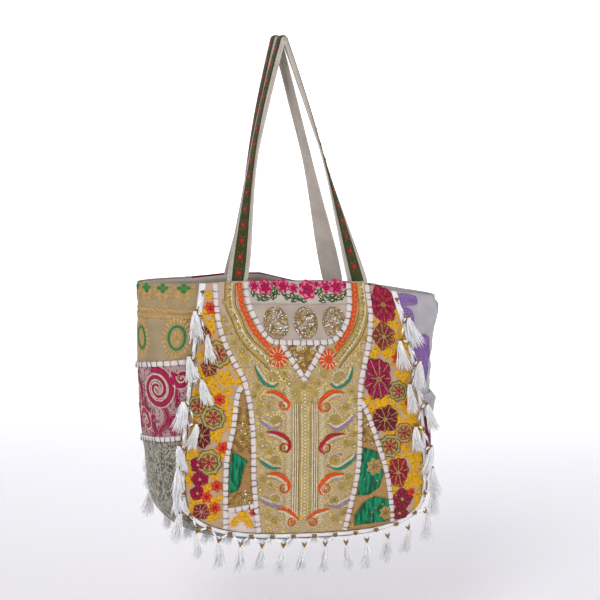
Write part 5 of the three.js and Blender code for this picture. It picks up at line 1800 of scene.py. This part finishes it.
def across_at(name, v):
    """Where a sewn line lies at a drop."""
    return np.interp(v, *seam_line(name).T[::-1])


def side_bounds(side, v):
    """Where the worked cloth of a side panel begins and ends at a drop, as u from left to right."""
    upper, lower, turn = SIDE_SEAMS[side]
    inner = across_at(upper if v < turn else lower, v) + side * 5
    return sorted((side * (half_width(v) - 2), inner))


def in_medallion(u, v, reach, turn):
    """Place inside a medallion, at a share of its size and an angle."""
    across, down = MEDALLION_HALF
    return joined(u + across * reach * np.cos(turn), v + down * reach * np.sin(turn))


def in_vee(random, count, half, deep, low, high):
    """Random places in the triangle of the V insert."""
    side = random.uniform(-1, 1, count)
    drop = (1 - np.abs(side)) * random.uniform(low, high, count)
    return joined(V_MIDDLE + half * side, V_TOP + deep * drop)


class ToteFrontEmbroidery(bpy.types.Operator):
    """Work the flowers, paisleys and gold of the front panel"""

    bl_idname = "tote.front_embroidery"
    bl_label = "Front embroidery"

    def execute(self, context):
        finishes = floss_finishes(*FLOSS)
        finishes["gold"] = metal_thread_finish("gold_thread", "gold")
        finishes["old_gold"] = metal_thread_finish("old_gold_thread", "brass", roughness=0.33)
        slots = {"gold": "gold", "tan": "gold", "cream": "gold", "old_gold": "sequin", "yellow": "yellow"}
        work = Needlework(PLACE_FRONT)
        for part in (self.yoke, self.trunk, self.bib, self.sides, self.wedges):
            part(work)
        work.make("front", finishes, slots, "magenta")
        silk = satin_silk_finish("emerald_satin", "emerald")
        for key, outline in GREEN_PATCHES.items():
            outline = np.array(outline, float)
            piece = filled_region(f"applique_green_{key}", PLACE_FRONT, outline, 0.1, 0.9)
            finish_piece(piece, silk, "green")
        return {"FINISHED"}

    def yoke(self, work):
        """Paisleys, whorls, the two bands of each side and the orange flowers below them."""
        for thread, half, centre, radius, path in PAISLEYS:
            paisley(work, thread, path, centre, radius, half)
        for number, (u, v, radius) in enumerate(GOLD_WHORLS):
            hand = other_hand(number)
            work.cord("gold", spiral((u, v), radius, 2.4, number * 1.3, hand), 1.0, 0.4)
            work.cord("gold", circle((u, v), radius * 1.35, 9, number * 1.3 + 0.3, hand * -2.2), 0.85, 0.35)
        for points in ORANGE_STRIPS:
            path = even(spline(points, 8), 0.8)
            cells = np.abs(np.sin(math.pi * lengths(path) / 7.2))
            work.satin("orange", path, 3.6 + 1.5 * cells ** 0.6, 0.9, 0.2)
            for edge in beside(path, -5.9, 5.9):
                work.cord("gold", edge, 0.8, 0.35)
            for k in range(4, len(path), 9):
                work.cord("tan", circle(path[k], 1.0, 7), 0.6, 1.0)
        for points in GOLD_BANDS:
            path = even(spline(points, 8), 1.6)
            threads = ("old_gold", "gold", "gold", "gold", "gold", "old_gold")
            for thread, edge in zip(threads, beside(path, -7.8, -6.2, -4.9, 4.9, 6.2, 7.8)):
                work.cord(thread, edge, 1.0, 0.45)
            work.satin("cream", path, 4.6, 0.2, 0.0)
            side = sideways(path)
            for k in range(2, len(path) - 2, 4):
                hand = 1 if k % 8 else -1
                work.cord("gold", spiral(path[k] + side[k] * 1.2 * hand, 2.9, 1.8, k, hand), 1.0, 0.45)
        for centre in NECK_FLOWERS:
            daisy(work, centre, 16.0, "orange", "orange", 12, 0.27, 0.1, 0.25)
            work.satin("orange", circle(centre, 2.6, 13), 2.8, 0.6, 0.8)
            for ray in rays(12, 0.1 + math.pi / 12):
                work.cord("cream", [centre + 6.5 * ray, centre + 13.5 * ray], 0.9, 0.9)
            work.cord("gold", circle(centre, 17.2, 30), 0.9, 0.35)

    def trunk(self, work):
        """Braid down the middle, ribbed columns beside it and palm leaves along their edges."""
        down = np.arange(TRUNK_TOP, TRUNK_FOOT, 1.6)
        lower = down[12:]
        work.satin("cream", joined(TRUNK_U, down), 7.4, 0.2, 0.1)
        for phase in (0.0, math.pi):
            braid = TRUNK_U + 4.4 * np.sin(2 * math.pi * down / 10.5 + phase)
            work.cord("gold", joined(braid, down), 1.3, 0.6)
        for offset in (-8.6, -7.1, 7.1, 8.6):
            work.cord("gold", joined(TRUNK_U + offset, down), 1.0, 0.5)
        for offset in (-18.6, -15.2, -11.8, 11.8, 15.2, 18.6):
            work.satin("cream", joined(TRUNK_U + offset, lower), 1.1, 1.0, 0.3)
            work.cord("old_gold", joined(TRUNK_U + offset + 1.7, lower), 0.8, 0.2)
        for side in (-1, 1):
            root, tip = TRUNK_U + side * 20.5, TRUNK_U + side * 31.0
            for v in np.arange(TRUNK_TOP - 8, TRUNK_FOOT + 8, 4.2):
                petal(work, "cream", (root, v + 6), (tip, v - 5), 1.2, 0.9, 0.3, 0.8, 0.1 * side)
                work.cord("gold", [(root, v + 8), (mix(root, tip, 0.6), v + 2.6), (tip, v - 3)], 0.95, 0.35)
            far = TRUNK_U + side * 17.0
            for v in np.arange(PALM_TOP + 0.4, TRUNK_TOP + 10, 4.4):
                near = TRUNK_U + side * (3.0 + 0.09 * (v - PALM_TOP))
                rib = spline([(near, v + 5), (mix(near, far, 0.5), v - 1), (far, v - 6)], 3)
                work.cord("gold", rib, 0.95, 0.35)

    def bib(self, work):
        """Roses and leaf curls of the rim, the three medallions and the loops of the V insert."""
        for u, v, radius in ROSES:
            rose(work, (u, v), radius, 0.7 * u)
        for u, v, radius, hand, start in CURLS:
            curled_sprig(work, (u, v), radius, hand, start)
        random = np.random.default_rng(SEED)
        for u, v in MEDALLIONS:
            for share in (0.98, 0.8):
                work.cord("old_gold", circle((u, v), np.array(MEDALLION_HALF) * share, 34), 0.8, 0.3)
            for k in range(70):
                reach, turn = math.sqrt(random.uniform(0.02, 0.85)), random.uniform(0, 2 * math.pi)
                loop = spiral(in_medallion(u, v, reach, turn), random.uniform(1.4, 2.6), 1.2, turn)
                work.cord(("old_gold", "gold", "cream")[k % 3], loop, 0.85, 0.4)
        spots = in_vee(random, 64, 30, 40, 0.02, 1)
        loose_loops(work, random, spots, "gold", "old_gold", "cream", "old_gold")

    def sides(self, work):
        """Yellow sprays over both side panels, in the room that the larger flowers leave."""
        flowers = np.array([(u, v, max(half)) for u, v, half, *_ in BLOOMS]
                           + [entry[:3] for entry in RING_FLOWERS + ORANGE_FLOWERS], float)
        random = np.random.default_rng(SEED)
        for u, v, aim in HEM_SPRAYS:
            spray(work, (u, v), "yellow", 6, 12.5, 2.7, aim)
        for side in (LEFT, RIGHT):
            for v in np.arange(10, CORNER_V + BOTTOM_DROP, SPRAY_ROW):
                low, high = side_bounds(side, v)
                for u in np.arange(low, high, SPRAY_STEP) + random.uniform(0, SPRAY_STEP):
                    at = np.array([u, v + random.uniform(-3, 3)])
                    aim = random.uniform(0, 2 * math.pi)
                    clear = np.hypot(*(flowers[:, :2] - at).T) > 0.8 * flowers[:, 2]
                    s = np.clip(u / half_width(v), -1, 1)
                    on_cloth = rim_drop(FRONT_RIM, s) + 14 < v < bottom_edge(s) - 5
                    if clear.all() and low < u < high and on_cloth:
                        spray(work, at, "yellow", 4, 10.5 + random.uniform(0, 3), 3.1, aim, 3.2)
        for number, (u, v, radius) in enumerate(ORANGE_FLOWERS):
            daisy(work, (u, v), radius, "orange", "red", 6, 0.36, 0.5 * number, 0.15, 0.8)
            for ray in rays(6, 0.5 * number + math.pi / 6, radius):
                work.cord("red", [(u, v) + 0.25 * ray, (u, v) + 0.72 * ray], 0.7, 1.1)
        for u, v, half, thread, vein in BLOOMS:
            bloom(work, (u, v), half, thread, vein, 0.3 * u)
        for u, v, radius, ring in RING_FLOWERS:
            ring_flower(work, (u, v), radius, ring, 0.2 * u)

    def wedges(self, work):
        """Gold loops, whorls and leaves of the two wedges, and the cord round the silk patches."""
        random = np.random.default_rng(SEED)
        spots = [(u, v) for v in (314, 319, 324) for u in np.arange(-120, -86, 5.0)]
        for left, right, foot in (("wedge_left", "yoke_left", 246), ("yoke_right", "wedge_right", 240)):
            for v in np.arange(186, foot, 4.6):
                spots += [(u, v) for u in np.arange(across_at(left, v) + 7.5, across_at(right, v) - 5.5, 5.0)]
        spots = np.array(spots, float) + random.uniform(-1.2, 1.2, (len(spots), 2))
        loose_loops(work, random, spots, "old_gold", "tan", "old_gold")
        for number, (u, v, radius) in enumerate(WEDGE_WHORLS):
            work.cord("gold", spiral((u, v), radius, 1.7, number, other_hand(number)), 1.2, 0.4)
            work.cord("old_gold", circle((u, v), radius * 1.25, 16, number, 4.6), 1.0, 0.3)
        for u, v, radius in GOLD_LEAVES:
            for ray in rays(7, reach=radius):
                petal(work, "tan", (u, v) + 0.1 * ray, (u, v) + 1.15 * ray, radius * 0.42, 0.8, 1.2, 1.4)
                work.cord("old_gold", [(u, v) + part * ray for part in (0.2, 0.6, 1.0)], 0.9, 2.1)
        for outline in GREEN_PATCHES.values():
            work.cord("old_gold", even([*outline, outline[0]], 1.5), 0.6, 1.0)


# Charts of the gusset, x from the front seam: drops of the tan cloth, scrolls of the mauve one, silk leaves.
DROPS = [(28, 83), (92, 88), (156, 86)]
DROP_HALF = (22.5, 32.0)
BORDER_STEP, BORDER_FIRST, BORDER_COUNT = 26.0, 23.0, 7
SCALLOP = [(-13, 8), (-7, 12), (-3.5, 19), (0, 21.5), (3.5, 19), (7, 12), (13, 8)]
SCROLLS = [
    (58, 160, 29, 2.2), (17, 141, 13, 1.6), (92, 212, 15, 1.8), (126, 174, 25, 2.2), (152, 228, 16, 1.8),
    (182, 186, 20, 2.0),
]
SCROLL_TAILS = [
    [(34, 132), (26, 150), (24, 168), (20, 182), (8, 188)], [(84, 178), (90, 190), (78, 198)],
    [(112, 152), (100, 160), (98, 176), (106, 192)],
    [(60, 178), (48, 186), (40, 198), (44, 212), (58, 224), (48, 236)],
    [(16, 204), (28, 198), (36, 208), (26, 222), (34, 234)], [(66, 200), (74, 212), (66, 226), (76, 236)],
    [(112, 200), (122, 212), (114, 228)], [(170, 176), (160, 186), (170, 200), (184, 212), (176, 232)],
]
SILK_LEAVES = {
    "upper": [(1, 21), (14, 16), (32, 18), (31, 30), (18, 33), (5, 36)],
    "middle": [(4, 38), (18, 38), (22, 52), (18, 66), (9, 74), (1, 64)],
    "lower": [(39, 77), (54, 88), (51, 108), (47, 121), (39, 140), (30, 154), (15, 146), (5, 132),
              (12, 110), (18, 95), (28, 84)],
    "side": [(97, 30), (118, 26), (140, 40), (152, 66), (140, 74), (122, 70), (106, 56)],
    "rear": [(88, 148), (100, 118), (124, 98), (156, 92), (150, 118), (132, 140), (108, 154)],
    "back": [(160, 30), (180, 22), (204, 34), (208, 62), (196, 84), (178, 70), (166, 52)],
}


class ToteGussetEmbroidery(bpy.types.Operator):
    """Work the drops, scrolls and silk leaves of the gusset"""

    bl_idname = "tote.gusset_embroidery"
    bl_label = "Gusset embroidery"

    def execute(self, context):
        finishes = floss_finishes("tan", "green", "magenta", "plum", "cream", "lavender", "purple")
        left = Needlework(PLACE_LEFT)
        self.border(left)
        for centre in DROPS:
            self.drop(left, centre)
        self.scrolls(left)
        left.make("left_gusset", finishes, {"magenta": "mauve", "plum": "mauve", "cream": "mauve"}, "tan")
        self.leaves(finishes)
        return {"FINISHED"}

    def border(self, work):
        """Scalloped border with green florets, over a band of rope stitches between two lines."""
        for k in range(BORDER_COUNT):
            x = BORDER_FIRST + BORDER_STEP * k
            for line in range(4):
                points = np.array(SCALLOP, float) + (x, 3.6 * line)
                path = np.array([p for p in spline(points, 4) if 2 < p[0] < GIRTH - 2])
                work.satin("tan", path, 1.3, 1.0, 0.1)
            between = x + BORDER_STEP / 2
            for line in range(3):
                half, drop = 5 - 1.6 * line, 3.5 * line
                roof = [(between - half, 25 + drop), (between, 21 + drop), (between + half, 25 + drop)]
                work.satin("tan", roof, 0.8, 0.6, 0.1)
            for ray in rays(4, reach=(8.5, 8.5 * 0.85)):
                petal(work, "green", (x, 11) + 0.1 * ray, (x, 11) + ray, 3.4, 1.0, 0.5, 1.2)
        x = np.arange(4, GIRTH - 4, 2.0)
        for v in (38.0, 58.0):
            work.satin("tan", joined(x, v), 0.8, 0.7, 0.1)
        for start in np.arange(5, GIRTH - 10, 4.6):
            for v in (43.5, 52.0):
                petal(work, "tan", (start, v + 3.8), (start + 8, v - 3.0), 2.2, 1.2, 0.1, 1.0)

    def drop(self, work, centre):
        """Scalloped drop with a green ring round a rayed heart."""
        across, down = DROP_HALF
        for ray in rays(24, reach=DROP_HALF):
            petal(work, "tan", centre + ray * 0.62, centre + ray, 3.2, 1.3, 0.1, 1.2)
        work.satin("green", circle(centre, (across * 0.5, down * 0.52), 41), 1.9, 1.2, 0.3)
        for ray in rays(14, reach=DROP_HALF):
            petal(work, "tan", centre + ray * 0.06, centre + ray * 0.42, 1.9, 0.9, 0.1, 1.1)

    def scrolls(self, work):
        """Magenta scrolls with their edges and tails, over a ground of short stitches."""
        for number, (x, v, radius, turns) in enumerate(SCROLLS):
            path = spiral((x, v), radius, turns, 0.6 * number - 1.2, other_hand(number))
            path = even(spline(path, 3), 1.8)
            work.satin("magenta", path, np.linspace(5.4, 1.8, len(path)), 1.0, 0.1)
            narrow = 6.6 * np.linspace(1, 0.4, len(path))
            for edge in beside(path, -narrow, narrow):
                work.cord("cream", edge, 0.9, 0.25)
        for points in SCROLL_TAILS:
            path = even(spline(points, 8), 1.8)
            swell = np.sin(math.pi * np.linspace(0, 1, len(path)))
            work.satin("magenta", path, 1.2 + 2.2 * swell ** 2, 0.8, 0.1)
            wide = 4.6 * (0.4 + 0.6 * swell)
            for edge in beside(path, -wide, wide):
                work.cord("magenta", edge, 0.8, 0.25)
        random = np.random.default_rng(SEED)
        for k in range(900):
            x = random.uniform(6, GIRTH - 6)
            v = random.uniform(UPPER_V + 7, LOWER_V - 7) + SLANT * (x / GIRTH - 0.5)
            ray = 2.2 * np.array([math.cos(k), math.sin(k)])
            work.cord("plum" if k % 3 else "magenta", [(x, v) - ray, (x, v), (x, v) + ray], 0.7, 0.2)

    def leaves(self, finishes):
        """Purple silk leaves sewn on the silver silk."""
        silk = satin_silk_finish("purple_silk", "purple")
        work = Needlework(PLACE_RIGHT)
        for key, outline in SILK_LEAVES.items():
            edge = even(spline([*outline, outline[0]], 6), 2.0)
            piece = filled_region(f"applique_leaf_{key}", PLACE_RIGHT, edge[:-1], 0.1, 0.8, step=3.0)
            finish_piece(piece, silk, "silver")
            middle, half = edge.mean(0), 0.1 * np.ptp(edge, axis=0).min()
            for share in (0.88, 0.66, 0.44, 0.22):
                work.satin("purple", middle + (edge - middle) * share, half, 0.5, 0.95)
                work.cord("lavender", middle + (edge - middle) * (share + 0.11), 1.0, 1.5)
        work.make("right_gusset", finishes, {}, "silver")


# Trim flowers and running stitches of the straps: step, and where the stitches lie across.
TRIM_FLOWER_STEP, STRAP_STITCH_STEP, STRAP_STITCH_ROWS = 24.0, 5.2, (-12.7, 12.4)


class ToteStrapEmbroidery(bpy.types.Operator):
    """Work the small red flowers of the trims and the stitching of the straps"""

    bl_idname = "tote.strap_embroidery"
    bl_label = "Strap embroidery"

    def execute(self, context):
        finishes = floss_finishes("red", "rust", "orange")
        face = STRAP_CLOTH / 2 + TRIM_GAP + TRIM_CLOTH - 0.1
        rows = []
        for key, strap in STRAPS.items():
            work = Needlework(lambda a, w, h, strap=strap: strap.place(a, w, h + face))
            start, end = strap.mouth
            for at in np.arange(start + 12, end - 8, TRIM_FLOWER_STEP):
                for ray in rays(6, reach=4.6):
                    petal(work, "red", (at, 0) + 0.15 * ray, (at, 0) + ray, 1.5, 0.6, 0.1, 1.2)
                work.cord("orange", circle((at, 0), 1.0, 8), 0.7, 0.8)
                for side in (-1, 1):
                    for way in (-1, 1):
                        root, tip = (at + 5 * way, 1.5 * side), (at + 8 * way, 5.5 * side)
                        petal(work, "rust", root, tip, 1.0, 0.4, 0.1)
            work.make(f"trim_{key}", finishes, {}, "trim")
            at = np.arange(start + 4, end - 4, STRAP_STITCH_STEP)
            for across in STRAP_STITCH_ROWS:
                spots = joined(at, across)
                rows.append(stand(strap.place, spots, spots + (1, 0), STRAP_CLOTH / 2 + 0.1))
        finish = thread_finish("linen_floss", "taupe")
        shape = stitch_shape(0, 3.4 * MM, 0.3 * MM)
        set_stitches("stitches_strap", rows, [shape], (1, 1, 0.4), finish, "linen", 0.05, 0.1)
        return {"FINISHED"}


# Sequins: name, colour, roughness; the wedges that some are strewn over.
SEQUINS = [
    ("gold", "gold", 0.2), ("silver", "white", 0.2), ("bronze", "old_gold", 0.25), ("pewter", "ash", 0.25),
]
STREWN_WEDGES = [(-98, 215), (-98, 322), (94, 224)]
SEQUIN_HEIGHT = 1.3


class ToteSequins(bpy.types.Operator):
    """Sew the sequins on the gold bands, the medallions and the silk patches"""

    bl_idname = "tote.sequins"
    bl_label = "Sequins"

    def execute(self, context):
        random = np.random.default_rng(SEED)
        spots = [centre for _, _, centre, *_ in PAISLEYS]
        spots += [(u, v) for u, v, _ in GOLD_WHORLS] + PATCH_SEQUINS
        for points in GOLD_BANDS:
            spots += even(spline(points, 8), 5.2).tolist()
        for u, v in MEDALLIONS:
            reach, turn = np.sqrt(random.uniform(0.02, 1.0, 190)), random.uniform(0, 2 * math.pi, 190)
            spots += in_medallion(u, v, reach, turn).tolist()
        spots += in_vee(random, 70, 29, 42, 0, 0.95).tolist()
        for centre in STREWN_WEDGES:
            spots += (np.array(centre) + random.normal(0, (6, 9), (16, 2))).tolist()
        spots = np.array(spots, float)
        kind = random.integers(0, len(SEQUINS), len(spots))
        radius = sizes().sequin
        profile = [(0.28 * radius, 0.0), (radius, 0.0002), (radius, 0.0004), (0.28 * radius, 0.00022)]
        for number, (name, key, roughness) in enumerate(SEQUINS):
            finish = metal_thread_finish(f"{name}_sequin", key, roughness, 0.85, 500.0)
            points = PLACE_FRONT(*spots[kind == number].T, SEQUIN_HEIGHT)
            up = np.array([0, -1, 0.15]) + random.normal(0, 0.16, (len(points), 3))
            shape = turned_shape("sequin", profile, 9)
            piece = set_along(f"sequins_{name}", [shape], points, up, (1, 0, 0), (1, 1, 1), finish, 3.1, 0.25)
            finish_piece(face_out(piece), finish, "sequin")
        return {"FINISHED"}


OPERATORS = [
    ToteStage, ToteFrontCloth, ToteRibbons, ToteBlanketStitches, ToteGusset, ToteBackAndLining, ToteStraps,
    TotePiping, ToteFringe, ToteFrontEmbroidery, ToteGussetEmbroidery, ToteStrapEmbroidery, ToteSequins,
]


class TotePanel(bpy.types.Panel):
    """Lists what makes the bag"""

    bl_idname = "VIEW3D_PT_tote"
    bl_label = "Patchwork tote bag"
    bl_space_type = "VIEW_3D"
    bl_region_type = "UI"
    bl_category = "Tote"

    def draw(self, context):
        for operator in OPERATORS:
            self.layout.operator(operator.bl_idname)
        for group in (context.scene.tote_sizes, context.scene.tote_colours):
            for key in group.__annotations__:
                self.layout.prop(group, key)


CLASSES = [ToteColours, ToteSizes, *OPERATORS, TotePanel]


def register():
    for cls in CLASSES:
        bpy.utils.register_class(cls)
    bpy.types.Scene.tote_colours = bpy.props.PointerProperty(type=ToteColours)
    bpy.types.Scene.tote_sizes = bpy.props.PointerProperty(type=ToteSizes)


def unregister():
    del bpy.types.Scene.tote_sizes
    del bpy.types.Scene.tote_colours
    for cls in reversed(CLASSES):
        bpy.utils.unregister_class(cls)


def main():
    register()
    for operator in OPERATORS:
        group, name = operator.bl_idname.split(".")
        getattr(getattr(bpy.ops, group), name)()


if __name__ == "__main__":
    main()
